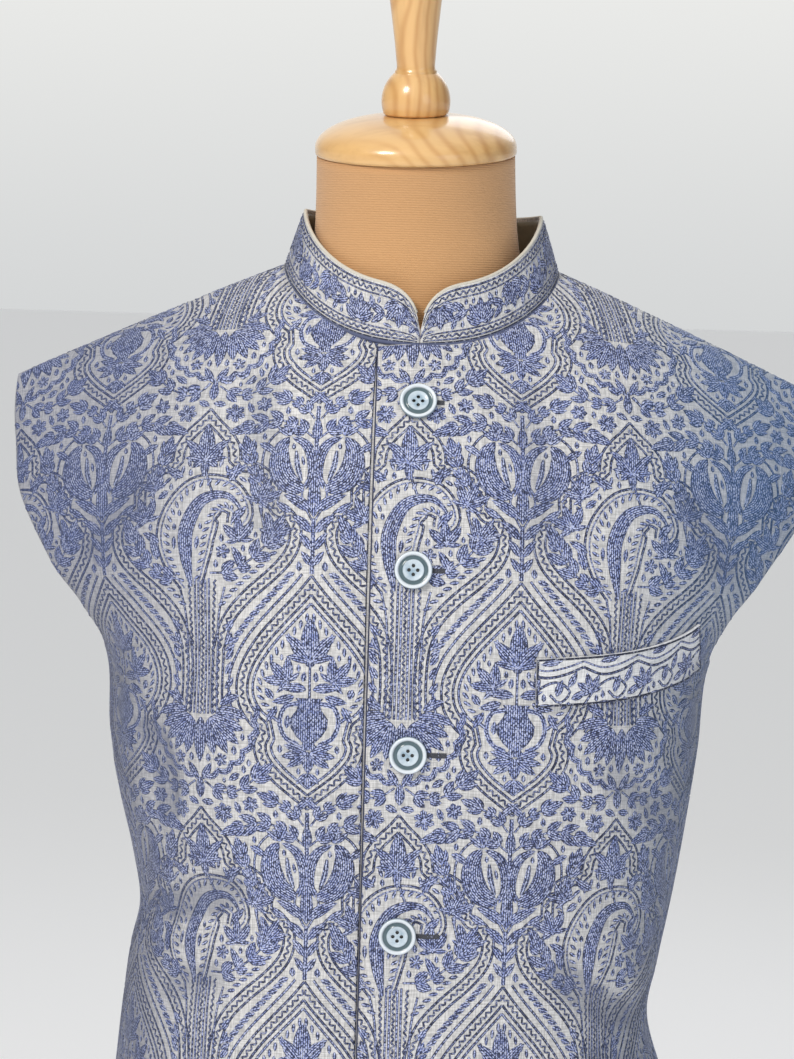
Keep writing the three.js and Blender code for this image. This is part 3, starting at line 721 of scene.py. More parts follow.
def painted_shade(nodes, color, amount):
    """Painted shade: darkens towards slate on the wearer's right and towards teal grey on the left by place,
    where the surface faces sideways, and in the troughs of the folds.
    """
    parts = nodes.place()[1]
    # painted shade by place: slate towards the wearer's right flank, teal grey towards the left
    to_right = nodes.range(parts[0], -0.075, -0.2, 0.0, amount)
    to_left = nodes.range(parts[0], 0.1, 0.21, 0.0, amount * 0.95)
    shaded = nodes.mix(to_right, color, rgb("3D4A70"))
    shaded = nodes.mix(to_left, shaded, rgb("386490"))
    # painted shade where the surface faces sideways
    facing = nodes.split(nodes.node("ShaderNodeNewGeometry").outputs["True Normal"])
    aside = nodes.math("ABSOLUTE", facing[0])
    shaded = nodes.mix(nodes.range(aside, 0.62, 0.97, 0.0, 0.5), shaded, rgb("333D58"))
    # painted shade in the fold troughs, from the fold height that each point carries
    return nodes.mix(nodes.range(nodes.value_of("fold"), -0.2, -2.2, 0.0, 0.42), shaded, rgb("424D6C"))


# Millimetres from thread to thread of the ground, and from rib to rib of the jersey
WARP_STEP = 0.95
WEFT_STEP = 0.85
RIB_STEP = 1.4


def ground_cloth(name, dull, bright, shade):
    """Ecru slub cloth, woven along the flat panel's grain."""
    nodes = Nodes(bpy.data.materials.new(name))
    grain, u, v = nodes.uv("grain")
    weave = nodes.times(nodes.wave(u, WARP_STEP), nodes.wave(v, WEFT_STEP))
    slub_v = nodes.noise(grain, 1.0, 2, 0.6, (1.1, 0.1, 1))
    slub_u = nodes.noise(grain, 1.0, 2, 0.6, (0.09, 1.3, 1))
    slub = nodes.add(slub_u, slub_v)
    color = nodes.mix(nodes.range(slub, 0.75, 1.25), rgb(dull), rgb(bright))
    color = nodes.mix(nodes.range(weave, 0.2, -1.0, 0, 0.3), color, rgb("8E8D86"))
    # painted shade towards the flanks, on sideways faces and in the fold troughs
    color = painted_shade(nodes, color, shade)
    height = nodes.add(nodes.times(weave, 0.5), nodes.times(slub, 0.8))
    nodes.bump(height, 0.5, 0.0002)
    return nodes.finish(color, 0.82, Sheen_Weight=0.12, Sheen_Roughness=0.5, Specular_IOR_Level=0.35)


STITCH_ROW = 1.3
STITCH_LENGTH = 2.3


def thread(name, shade):
    """Rows of chain stitch. The tone value goes from dark outline cord to the pale blue fill. The stitch
    crests carry a painted highlight and the grooves between them painted shade.
    """
    nodes = Nodes(bpy.data.materials.new(name))
    uv, u, v = nodes.uv("stitch")
    sway = nodes.noise(uv, 0.45, 2, 0.5)
    v = nodes.add(v, nodes.math("MULTIPLY_ADD", sway, 0.9, -0.45))
    u = nodes.add(u, nodes.math("MULTIPLY_ADD", nodes.noise(uv, 0.7, 2, 0.5), 1.6, -0.8))
    row = nodes.math("DIVIDE", v, STITCH_ROW)
    row_number = nodes.math("ROUND", row)
    bow = nodes.math("COSINE", nodes.times(nodes.math("SUBTRACT", row, row_number), 2 * math.pi))
    bow = nodes.math("MULTIPLY_ADD", bow, 0.5, 0.5)
    shift = nodes.times(row_number, 0.5)
    along = nodes.add(nodes.math("DIVIDE", u, STITCH_LENGTH), shift)
    bead = nodes.math("ABSOLUTE", nodes.math("SINE", nodes.times(along, math.pi)))
    bead = nodes.power(bead, 0.35)
    stitch = nodes.times(nodes.power(bow, 0.5), bead)
    tone = nodes.value_of("tone")
    # noise that makes the painted highlight on the stitch crests patchy
    highlight_patches = nodes.noise(nodes.place()[0], 260.0, 3, 0.6)
    patch = nodes.noise(nodes.place()[0], 22.0, 2, 0.5)
    blue = nodes.mix(nodes.range(patch, 0.35, 0.65), rgb("5667AA"), rgb("6D80C7"))
    body = nodes.mix(nodes.range(tone, -0.5, 0.05), rgb("171B2E"), rgb("2D3965"))
    body = nodes.mix(nodes.range(tone, 0.05, 0.75), body, blue)
    body = nodes.mix(nodes.range(tone, 1.05, 1.6), body, rgb("A6B2DC"))
    # painted highlight colours for the stitch crests, darker on dark cords
    light = nodes.mix(nodes.range(tone, -0.5, 0.05), rgb("2A3048"), rgb("7F8BB8"))
    light = nodes.mix(nodes.range(tone, 0.05, 0.75), light, rgb("C6D0F2"))
    top = nodes.times(nodes.range(stitch, 0.54, 0.82), nodes.range(highlight_patches, 0.36, 0.62, 0.35, 1.0))
    color = nodes.mix(top, body, light)
    # painted shade in the grooves between stitches and between rows
    gap = nodes.range(stitch, 0.6, 0.36, 0.0, 0.96)
    color = nodes.mix(gap, color, rgb("141930"))
    speck = nodes.noise(nodes.place()[0], 620.0, 2, 0.6)
    color = nodes.mix(nodes.range(speck, 0.53, 0.62, 0.0, 0.85), color, rgb("181D36"))
    color = nodes.mix(nodes.range(speck, 0.46, 0.36, 0.0, 0.45), color, rgb("D5DAEC"))
    # painted shade towards the flanks, on sideways faces and in the fold troughs
    color = painted_shade(nodes, color, shade)
    nodes.bump(stitch, 0.65, 0.0003)
    return nodes.finish(color, 0.5, Sheen_Weight=0.15, Sheen_Roughness=0.4, Specular_IOR_Level=0.45)


def lining_cloth():
    nodes = Nodes(bpy.data.materials.new("lining"))
    place = nodes.place()[0]
    tone = nodes.noise(place, 60, 3, 0.6)
    color = nodes.mix(nodes.range(tone, 0.3, 0.7), rgb("77766A"), rgb("8F8D7F"))
    nodes.bump(nodes.noise(place, 1500, 1, 0.5), 0.25, 0.0002)
    return nodes.finish(color, 0.55, Sheen_Weight=0.1)


def jersey():
    """Tan jersey with fine level ribs."""
    nodes = Nodes(bpy.data.materials.new("jersey"))
    place, parts = nodes.place()
    wander = nodes.times(nodes.noise(place, 30, 2, 0.5), 0.0006)
    height = nodes.add(parts[2], wander)
    rib = nodes.wave(height, RIB_STEP * MM)
    fuzz = nodes.noise(place, 900, 2, 0.6)
    color = nodes.mix(nodes.range(rib, -1, 1, 0, 0.3), rgb("C99A6A"), rgb("DCAF7F"))
    color = nodes.mix(nodes.range(fuzz, 0.4, 0.8, 0, 0.2), color, rgb("BC8852"))
    nodes.bump(nodes.add(rib, nodes.times(fuzz, 0.7)), 0.35, 0.0002)
    return nodes.finish(color, 0.85, Sheen_Weight=0.25, Sheen_Roughness=0.6, Specular_IOR_Level=0.25)


CAP_RINGS_AT = (-0.028, -0.022)
CAP_RING_STEP = 0.0085
# Axis across the grain, a second axis and its share, and the metres from ring to ring
GRAIN = {"stem": (0, 1, 0.3, 0.0065), "base": (1, 2, 0.5, 0.012)}


def wood(name, kind):
    """Varnished light wood. The lines of the growth rings run each piece's own way."""
    nodes = Nodes(bpy.data.materials.new(name))
    vector = nodes.node("ShaderNodeTexCoord").outputs["Object"]
    parts = nodes.split(vector)
    wander = nodes.times(nodes.math("SUBTRACT", nodes.noise(vector, 14, 2, 0.5), 0.5), 0.02)
    if kind == "cap":
        along = nodes.power(nodes.add(parts[0], -CAP_RINGS_AT[0]), 2)
        up = nodes.power(nodes.add(parts[2], -CAP_RINGS_AT[1]), 2)
        across = nodes.math("SQRT", nodes.add(along, up))
        step = CAP_RING_STEP
    else:
        axis, other, lean, step = GRAIN[kind]
        across = nodes.add(parts[axis], nodes.times(parts[other], lean))
    rings = nodes.wave(nodes.add(across, wander), step)
    line = nodes.power(nodes.math("MULTIPLY_ADD", rings, 0.5, 0.5), 2.2)
    if kind == "cap":
        line = nodes.times(line, nodes.range(parts[0], -0.04, 0.015, 0.2, 1.0))
    fine = nodes.noise(vector, 90, 3, 0.6, (1, 1, 0.12) if kind == "stem" else (0.12, 1, 1))
    color = nodes.mix(nodes.times(line, 0.55), rgb("E6BA7C"), rgb("C38A4A"))
    color = nodes.mix(nodes.range(fine, 0.45, 0.75, 0, 0.3), color, rgb("B07E45"))
    return nodes.finish(color, 0.3, Coat_Weight=0.7, Coat_Roughness=0.12, Specular_IOR_Level=0.5)


def shell_plastic():
    """Pale ice blue button, with a paler rim and a grey teal ring, by distance from its middle. The walls of
    its holes are painted near black as shade.
    """
    nodes = Nodes(bpy.data.materials.new("button"))
    ring = nodes.value_of("ring")
    cloud = nodes.noise(nodes.place()[0], 160, 3, 0.6)
    middle = nodes.mix(nodes.range(cloud, 0.35, 0.65), rgb("8AA6BA"), rgb("BFD0DC"))
    middle = nodes.mix(nodes.range(ring, 2.5, 5.2, 0.0, 0.5), middle, rgb("D6E2EC"))
    color = nodes.mix(nodes.range(ring, 5.8, 6.4), middle, rgb("4D646D"))
    color = nodes.mix(nodes.range(ring, 8.2, 8.9), color, rgb("DFE8F0"))
    color = nodes.mix(nodes.range(ring, 10.4, 10.9), color, rgb("7C8D97"))
    # painted shade: near black on the walls of the holes
    color = nodes.mix(nodes.range(ring, 0.0, -3.0), color, rgb("1E272B"))
    return nodes.finish(color, 0.22, Coat_Weight=0.5, Coat_Roughness=0.1, Specular_IOR_Level=0.5)


def plain(name, code, rough, **sockets):
    nodes = Nodes(bpy.data.materials.new(name))
    return nodes.finish(rgb(code), rough, **sockets)


# The last number of each is the share of painted shade towards the flanks
cloth_material = ground_cloth("ground cloth", "B5B5B6", "E6E6E7", 0.5)
# The welt's cloth: a paler copy of the ground cloth with less painted shade, which paints light on the welt
lit_welt_cloth = ground_cloth("lit welt cloth", "D0D2D6", "F7F8FA", 0.12)
thread_material = thread("embroidery thread", 0.5)
# The welt's thread, with less painted shade
lightly_shaded_thread = thread("welt thread", 0.12)
lining_material = lining_cloth()
jersey_material = jersey()
button_material = shell_plastic()
dark_thread = plain("dark thread", "44464F", 0.7)
# dark blue of the lap's edge cord: edge stitching and a painted shadow at the edge
edge_stitch_and_shadow = plain("edge stitch and shadow", "2A304C", 0.7)
# blue grey of the cord round the collar's foot: seam thread, and painted shade under the collar
seam_thread_and_shade = plain("seam thread and shade", "565E7C", 0.75)
piping_material = plain("piping", "D2CEC2", 0.8, Sheen_Weight=0.1)


WELD = 0.01  # points of a wall closer than this are one point


def wall_from(grid_sets, thickness):
    """Closed wall from blocks of grids: outer points, normals, flat places and used cells."""
    points = []
    inner = []
    flats = []
    faces = []
    start = 0
    for outer, normals, flat, used, flipped, keep_side in grid_sets:
        rows, columns = outer.shape[:2]
        index = start + np.arange(rows * columns).reshape(rows, columns)
        quad = np.stack([index[:-1, :-1], index[:-1, 1:], index[1:, 1:], index[1:, :-1]], axis=-1)
        quad = quad[used]
        faces.append(quad[:, ::-1] if flipped else quad)
        inside = outer - normals * thickness
        if keep_side < 0:
            inside[..., 1] = np.minimum(inside[..., 1], -GAP / 2)
        elif keep_side > 0:
            inside[..., 1] = np.maximum(inside[..., 1], GAP / 2)
        points.append(outer.reshape(-1, 3))
        inner.append(inside.reshape(-1, 3))
        flats.append(flat.reshape(-1, 2))
        start += rows * columns
    points = np.concatenate(points)
    inner = np.concatenate(inner)
    flats = np.concatenate(flats)
    faces = np.concatenate(faces)
    places = np.round(points / WELD).astype(int)
    _, first, same = np.unique(places, axis=0, return_index=True, return_inverse=True)
    faces = same.ravel()[faces]
    points, inner, flats = points[first], inner[first], flats[first]
    edges = np.concatenate([faces[:, [k, (k + 1) % 4]] for k in range(4)])
    edges = edges[edges[:, 0] != edges[:, 1]]
    total = len(points)
    code = edges[:, 0].astype(np.int64) * total + edges[:, 1]
    back_code = edges[:, 1].astype(np.int64) * total + edges[:, 0]
    begin, end = edges[~np.isin(code, back_code)].T
    rim = np.stack([begin, begin + total, end + total, end], axis=-1)
    inside_faces = faces[:, ::-1] + total
    kinds = np.concatenate([np.zeros(len(faces)), np.ones(len(inside_faces)), np.zeros(len(rim))])
    return np.concatenate([points, inner]), np.concatenate([faces, inside_faces, rim]), flats, kinds


def quads_of(faces):
    """Quads whose corners are all different, and triangles from those with two the same."""
    keep = np.ones(len(faces), bool)
    for a in range(4):
        for b in range(a + 1, 4):
            keep &= faces[:, a] != faces[:, b]
    return faces[keep], keep


# The bake map lays a wall's outside and inside next to each other
BAKE_ROOM = 2.05
BAKE_INSIDE = 0.505


def make_cloth_piece(name, grid_sets, thickness, inner_material=None, face=None, outer_material=None):
    points, faces, flats, kinds = wall_from(grid_sets, thickness)
    faces, keep = quads_of(faces)
    piece = add_mesh(name, points, faces, outer_material or cloth_material)
    mesh = piece.data
    if inner_material is not None:
        mesh.materials.append(inner_material)
        if len(mesh.polygons) == len(faces):
            mesh.polygons.foreach_set("material_index", kinds[keep].astype(np.int32))
    if face is not None:
        # the fold height drives the painted shade in the fold troughs
        add_value(mesh, "fold", fold_height(face, points))
    add_uv(mesh, "grain", np.concatenate([flats, flats]))
    width, height = np.ptp(flats, axis=0)
    bake = (flats - flats.min(axis=0)) / (max(width, height) * BAKE_ROOM)
    inside_at = (0, BAKE_INSIDE) if height < width else (BAKE_INSIDE, 0)
    add_uv(mesh, "OFBake", np.concatenate([bake, bake + inside_at]))
    return piece


front_left = Panel(FRONT, 1, lap=LAP)
front_right = Panel(FRONT, -1, lap=UNDERLAP, sinks=True)
back_left = Panel(BACK, 1)
back_right = Panel(BACK, -1)


def grid_set(panel):
    flipped = (panel.hand < 0) == (panel.face == FRONT)
    side = -1 if panel.face == FRONT else 1
    return panel.points, panel.normals, panel.flat, panel.solid, flipped, side


cloth_left = make_cloth_piece("cloth_front_left", [grid_set(front_left)], CLOTH, lining_material, FRONT)
cloth_right = make_cloth_piece("cloth_front_right", [grid_set(front_right)], CLOTH, lining_material, FRONT)
cloth_back = make_cloth_piece(
    "cloth_back", [grid_set(back_left), grid_set(back_right)], CLOTH, lining_material, BACK
)
belongs(cloth_left, "cloth", "front_left")
belongs(cloth_right, "cloth", "front_right")
belongs(cloth_back, "cloth", "back")


# Collar
COLLAR_HEIGHT = 35.0
COLLAR_HEIGHT_BACK = 38.0
COLLAR_END_ROUND = 30.0
COLLAR_END_POWER = 2.5
COLLAR_END_START = 0.3
COLLAR_LEAN = (13.0, 18.0, 13.0)
LINING_SET_BACK = 2.0
COLLAR_COLUMNS = 150
COLLAR_ROWS = 12
SEAM_CLOSER = 0.22  # how much closer its columns stand at the centre front


def neck_quarter(panel):
    first = panel.neck_index
    side = panel.side[first:, panel.lap_columns]
    turn = panel.turn[first:, panel.lap_columns]
    return body_point(panel.face, panel.hand, side, turn)


def neck_seam():
    """Even points of the neck's seam, from the right of the centre front round to the left."""
    front_r = neck_quarter(front_right)
    front_l = neck_quarter(front_left)[::-1]
    front_r[0, 0] -= GAP / 2
    front_l[-1, 0] += GAP / 2
    back_r = neck_quarter(back_right)[:-1][::-1]
    back_l = neck_quarter(back_left)[1:-1]
    line = np.concatenate([front_r, back_r, back_l, front_l])
    along = run_of(line)
    ease = np.linspace(0, 1, COLLAR_COLUMNS + 1)
    ease = ease - SEAM_CLOSER * np.sin(2 * np.pi * ease) / (2 * np.pi)
    at = along[-1] * ease
    seam = np.stack([np.interp(at, along, line[:, k]) for k in range(3)], axis=-1)
    return seam, at, along[-1]


seam_points, seam_along, seam_length = neck_seam()
outward = np.stack([
    seam_points[:, 0] / NECK_HALF ** 2,
    seam_points[:, 1] / np.where(seam_points[:, 1] < 0, NECK_DEPTH[FRONT], NECK_DEPTH[BACK]) ** 2,
    np.zeros(len(seam_points)),
], axis=-1)
outward /= np.linalg.norm(outward, axis=1, keepdims=True)


def band_grid(depth, set_back):
    """Outer points, normals and flat places of a band round the neck, from its foot up."""
    end = np.minimum(seam_along, seam_length - seam_along)
    keep = end >= set_back - 1e-6
    ends = np.where(outward[:, 1] < 0, COLLAR_LEAN[0], COLLAR_LEAN[2])
    lean = np.radians(ends + (COLLAR_LEAN[1] - ends) * outward[:, 0] ** 2)
    rise = -outward * np.sin(lean)[:, None]
    rise[:, 2] = np.cos(lean)
    normal = outward * np.cos(lean)[:, None]
    normal[:, 2] = np.sin(lean)
    full = COLLAR_HEIGHT + (COLLAR_HEIGHT_BACK - COLLAR_HEIGHT) * np.maximum(outward[:, 1], 0)
    short = np.maximum(1 - (end + COLLAR_END_START) / COLLAR_END_ROUND, 0)
    top = full * (1 - short ** COLLAR_END_POWER) ** (1 / COLLAR_END_POWER)
    low = max(set_back, GAP)
    share = np.linspace(0, 1, COLLAR_ROWS + 1)[:, None]
    up = low + (top - set_back - low)[None, :] * share
    points = seam_points[None] + rise[None] * up[..., None] - normal[None] * depth
    normals = np.broadcast_to(normal[None], points.shape).copy()
    flat = np.stack([np.broadcast_to(seam_along[None], up.shape), up], axis=-1)
    return points[:, keep], normals[:, keep], flat[:, keep]


def band_piece(name, depth, thickness, set_back):
    points, normals, flat = band_grid(depth, set_back)
    used = np.ones((points.shape[0] - 1, points.shape[1] - 1), bool)
    return make_cloth_piece(name, [(points, normals, flat, used, True, 0)], thickness)


collar = belongs(band_piece("collar_cloth", 0, CLOTH, 0), "cloth", "collar")
collar_lining = belongs(
    band_piece("collar_lining_cloth", CLOTH + GAP, LINING, LINING_SET_BACK), "lining", "collar_lining"
)
collar_lining.data.materials[0] = lining_material


# Breast welt: across, low and high, as in part.mjs
WELT = np.array([
    [72, 541, 569],
    [90, 542, 570],
    [108, 543.2, 571.2],
    [124, 545, 573],
    [138, 547.5, 575.5],
    [150, 551, 579],
    [160, 555.5, 583.5],
    [167, 560.5, 588],
])
WELT_THICK = 2.0
WELT_LIFT = 0.55
WELT_COLUMNS = 60
WELT_ROWS = 14


def front_side(across, height):
    """Height at the side of the row of the wearer's left front that passes through a place."""
    return close_on(
        lambda side: body_point(FRONT, 1, side, turn_across(1, side, across))[..., 2] - height,
        np.full(np.shape(across), HEM), np.full(np.shape(across), TIP)
    )


def front_surface(across, height):
    """Outer point and normal of the wearer's left front, folds included."""
    across = np.asarray(across, float)
    height = np.asarray(height, float)
    side = front_side(across, height)
    turn = turn_across(1, side, across)
    point = body_point(FRONT, 1, side, turn)
    normal = body_normal(FRONT, 1, side, turn)
    hold = smooth(edge_turn(side) - np.abs(turn), 0, HELD_SIDE)
    return point + normal * (fold_height(FRONT, point) * hold)[..., None], normal


def welt_grid():
    share = np.sin(np.pi / 2 * np.arange(WELT_COLUMNS + 1) / WELT_COLUMNS)
    across = WELT[0, 0] + (WELT[-1, 0] - WELT[0, 0]) * share
    low = column_at(WELT, 1, across)
    high = column_at(WELT, 2, across)
    up = np.linspace(0, 1, WELT_ROWS + 1)[:, None]
    height = low[None] + (high - low)[None] * up
    across = np.broadcast_to(across, height.shape)
    point, normal = front_surface(across, height)
    outer = point + normal * (WELT_LIFT + WELT_THICK)
    return outer, normal, np.stack([grid_run(point, 1), grid_run(point, 0)], axis=-1)


welt_points, welt_normals, welt_flat = welt_grid()
welt_used = np.ones((WELT_ROWS, WELT_COLUMNS), bool)
welt = make_cloth_piece(
    "welt_cloth", [(welt_points, welt_normals, welt_flat, welt_used, False, 0)], WELT_THICK,
    outer_material=lit_welt_cloth
)
belongs(welt, "cloth", "pocket_welt")


# Form and its neck
FORM_COLUMNS = 96
FORM_LOWER_ROWS = 60
FORM_UPPER_ROWS = 30
NECK_COLUMNS = 96
FORM_NECK_ROWS = 26


def torso_ring(side):
    half = column_at(TORSO, RIGHT, side)
    power = 2 / column_at(TORSO, SQUARE, side)
    middle = middle_of(side)
    drop = smooth(side, UNDERARM, SEAT_FROM) * SEAT_DROP
    angle = 2 * np.pi * np.arange(FORM_COLUMNS) / FORM_COLUMNS
    x = half * np.sign(np.cos(angle)) * np.abs(np.cos(angle)) ** power
    share = np.abs(np.sin(angle)) ** power
    front, back = (share * depth_at(TORSO, face, side) for face in (FRONT, BACK))
    y = np.where(np.sin(angle) < 0, -front, back)
    cloth_half = np.where(x > 0, half_at(1, side), half_at(-1, side))
    z = middle + (side - middle) * lean_share(np.minimum(np.abs(x) / cloth_half, 1))
    return np.stack([x, y, z - drop], axis=-1)


def lofted(rings, close_top=True):
    """Points and faces of a closed skin through rings of the same number of points."""
    count = len(rings[0])
    points = np.concatenate(rings)
    faces = []
    for r in range(len(rings) - 1):
        low = r * count + np.arange(count)
        nxt = r * count + (np.arange(count) + 1) % count
        faces.append(np.stack([low, nxt, nxt + count, low + count], axis=-1))
    faces = np.concatenate(faces)
    ends = [(0, -1), (len(rings) - 1, 1)] if close_top else [(0, -1)]
    for ring, way in ends:
        middle = len(points)
        points = np.concatenate([points, [np.mean(rings[ring], axis=0)]])
        low = ring * count + np.arange(count)
        nxt = ring * count + (np.arange(count) + 1) % count
        fan = np.stack([low, nxt, np.full(count, middle), np.full(count, middle)], axis=-1)
        faces = np.concatenate([faces, fan if way > 0 else fan[:, [1, 0, 2, 3]]])
    return points, faces


def mixed_mesh(name, points, faces, material):
    """A mesh of quads, in which a face whose last two corners are the same is a triangle."""
    mesh = bpy.data.meshes.new(name)
    listed = [tuple(f[:3]) if f[2] == f[3] else tuple(f) for f in faces.tolist()]
    mesh.from_pydata((np.asarray(points) * MM).tolist(), [], listed)
    return mesh_object(mesh, material)


def torso_skin():
    lower = np.linspace(TORSO[0, 0], UNDERARM, FORM_LOWER_ROWS)
    upper = UNDERARM + (TIP - UNDERARM) * eased(FORM_UPPER_ROWS)
    rings = [torso_ring(side) for side in np.concatenate([lower, upper])]
    return lofted(rings, close_top=False)


def neck_frame(height, middle, tilt):
    base = np.array([NECK_AXIS - (height - NECK_LEAN_FROM) * NECK_SIDE_LEAN, middle, height])
    forward = Matrix.Rotation(math.radians(tilt), 4, "X")
    aside = Matrix.Rotation(-NECK_SIDE_LEAN, 4, "Y")
    return base, forward @ aside


def neck_skin():
    rings = []
    for height in np.linspace(NECK[0, 0], NECK[-1, 0], FORM_NECK_ROWS):
        half, depth, middle, tilt = (float(column_at(NECK, k, height)) for k in (1, 2, 3, 4))
        base, turn = neck_frame(height, middle, tilt)
        angle = 2 * np.pi * np.arange(NECK_COLUMNS) / NECK_COLUMNS
        flat = np.stack([half * np.cos(angle), depth * np.sin(angle), np.zeros(NECK_COLUMNS)], axis=-1)
        rings.append(flat @ np.array(turn.to_3x3()).T + base)
    return lofted(rings)


torso_points, torso_faces = torso_skin()
neck_points, neck_faces = neck_skin()
form_points = np.concatenate([torso_points, neck_points])
form_faces = np.concatenate([torso_faces, neck_faces + len(torso_points)])
form = belongs(mixed_mesh("form_jersey", form_points, form_faces, jersey_material), "jersey", "form")


# Turned wood, as in part.mjs
CAP_RADIUS = 60.0
CAP_HEIGHT = 24.0
CAP_EDGE = 5.0
CAP_FLAT = 13.0
BALL_RADIUS = 20.5
BALL_HEIGHT = 25.0
BALL_REACH = 53.0
BALL_FOOT = 22.0  # degrees of the ball that show below its middle
STEM = np.array([
    [25, 13.2], [27, 11.5], [34, 11.8], [45, 12.8], [58, 14.3], [71, 15.8], [80, 16.6], [87, 16.2],
    [92, 13.5], [95, 8.5], [96, 0],
])
BASE_HEIGHT = 18.0
BASE_HALF = (178.0, 122.0)
BASE_ROUND = 4.0
TURNED_COLUMNS = 128
ROUND_STEPS = 30  # points of the cap's round
BALL_STEPS = 32
STEM_HEIGHTS = np.concatenate([np.linspace(25.6, 92, 60), np.linspace(92.4, 95.8, 10)])


def turned(profile, columns=TURNED_COLUMNS):
    """Skin turned about Z from (radius, height) points that start and end on the axis."""
    angle = 2 * np.pi * np.arange(columns) / columns
    rings = [
        np.stack([r * np.cos(angle), r * np.sin(angle), np.full(columns, h)], axis=-1)
        for r, h in profile[1:-1]
    ]
    points, faces = lofted(rings)
    points[-2] = (0, 0, profile[0][1])
    points[-1] = (0, 0, profile[-1][1])
    return points, faces


def cap_profile():
    profile = [(0, 0), (CAP_RADIUS - 2, 0), (CAP_RADIUS - 1.2, 0.25), (CAP_RADIUS - 0.3, 1), (CAP_RADIUS, 2)]
    profile += [(CAP_RADIUS, CAP_EDGE - 0.6), (CAP_RADIUS - 0.05, CAP_EDGE)]
    for k in range(1, ROUND_STEPS):
        angle = math.pi / 2 * k / ROUND_STEPS
        radius = CAP_FLAT + (CAP_RADIUS - CAP_FLAT) * math.cos(angle)
        profile.append((radius, CAP_EDGE + (CAP_HEIGHT - CAP_EDGE) * math.sin(angle)))
    return profile + [(CAP_FLAT, CAP_HEIGHT), (4, CAP_HEIGHT), (0, CAP_HEIGHT)]


def finial_profile():
    reach = math.radians(BALL_REACH)
    foot = math.radians(BALL_FOOT)
    profile = [(0, 0), (BALL_RADIUS * math.cos(foot) - 0.5, 0)]
    for k in range(1, BALL_STEPS + 1):
        angle = -foot + (reach + foot) * k / BALL_STEPS
        up = BALL_HEIGHT * (math.sin(angle) + math.sin(foot)) / (math.sin(reach) + math.sin(foot))
        profile.append((BALL_RADIUS * math.cos(angle), up))
    for up in STEM_HEIGHTS:
        profile.append((float(column_at(STEM, 1, up)), float(up)))
    return profile + [(0, STEM[-1, 0])]


def place_turned(name, profile, material, lift):
    points, faces = turned(profile)
    piece = mixed_mesh(name, points + (0, 0, lift), faces, material)
    height, _, _, middle, tilt = NECK[-1]
    base, turn = neck_frame(height, middle, tilt)
    piece.matrix_world = Matrix.Translation(Vector(base) * MM) @ turn
    return piece


cap = place_turned("cap_wood", cap_profile(), wood("cap wood", "cap"), GAP)
finial = place_turned("finial_wood", finial_profile(), wood("finial wood", "stem"), CAP_HEIGHT + 2 * GAP)
belongs(cap, "wood", "neck_cap")
belongs(finial, "wood", "finial")


def base_skin():
    rings = []
    angle = 2 * np.pi * np.arange(TURNED_COLUMNS) / TURNED_COLUMNS
    rows = [(0, 1.0), (0.6, 0.2), (1.2, 0), (BASE_HEIGHT - BASE_ROUND, 0)]
    for k in range(1, 9):
        bend = math.pi / 2 * k / 8
        rows.append((BASE_HEIGHT - BASE_ROUND * (1 - math.sin(bend)), BASE_ROUND * (1 - math.cos(bend))))
    for up, inset in rows:
        x = (BASE_HALF[0] - inset) * np.cos(angle)
        y = (BASE_HALF[1] - inset) * np.sin(angle)
        rings.append(np.stack([x, y, np.full(len(angle), up)], axis=-1))
    return lofted(rings)


base_points, base_faces = base_skin()
base = mixed_mesh("base_wood", base_points, base_faces, wood("base wood", "base"))
belongs(base, "wood", "base")


# Buttons
BUTTON_PROFILE = [
    (0, 0), (9.0, 0), (9.6, 0.15), (10.5, 0.8), (11, 1.5), (10.95, 2.5), (10.7, 3.1), (10.3, 3.48),
    (9.8, 3.6), (9.3, 3.5), (8.9, 3.15), (8.6, 2.6), (8.3, 2.3), (7.4, 2.2), (6.6, 2.3), (6.3, 2.7),
    (6.0, 2.85), (5.6, 2.74), (4.6, 2.42), (3.2, 2.22), (1.6, 2.12), (0.4, 2.1), (0, 2.1),
]
HOLE_RADIUS = 1.05
HOLE_OFFSET = 2.5
HOLE_FLOOR = 0.7


def button_mesh():
    points, faces = turned(BUTTON_PROFILE, 72)
    round_piece = mixed_mesh("button shape", points, faces, button_material)
    cutters = []
    for k in range(4):
        angle = math.pi / 2 * k
        x, y = HOLE_OFFSET * math.cos(angle), HOLE_OFFSET * math.sin(angle)
        place = (x * MM, y * MM, 0.01 + HOLE_FLOOR * MM)
        bpy.ops.mesh.primitive_cylinder_add(vertices=20, radius=HOLE_RADIUS * MM, depth=0.02, location=place)
        cutters.append(bpy.context.object)
    for cutter in cutters:
        cut = round_piece.modifiers.new("hole", "BOOLEAN")
        cut.operation = "DIFFERENCE"
        cut.object = cutter
        cut.solver = "EXACT"
    graph = bpy.context.evaluated_depsgraph_get()
    mesh = bpy.data.meshes.new_from_object(round_piece.evaluated_get(graph))
    mesh.name = "button"
    for thing in [round_piece, *cutters]:
        bpy.data.objects.remove(thing)
    place = np.empty(3 * len(mesh.vertices), np.float32)
    mesh.vertices.foreach_get("co", place)
    place = place.reshape(-1, 3) / MM
    away = np.hypot(place[:, 0], place[:, 1])
    ring = np.where(place[:, 2] > 1.2, away, 11)
    # points on the walls of the holes get a value below nought, which the material paints near black as
    # shade
    in_hole = (away > 1) & (away < 4.5) & (place[:, 2] < 1.9) & (place[:, 2] > 0.1)
    add_value(mesh, "ring", np.where(in_hole, -12, ring))
    return mesh


CENTRE_LEAST = 0.01  # a button at the middle is set this far to the left of it


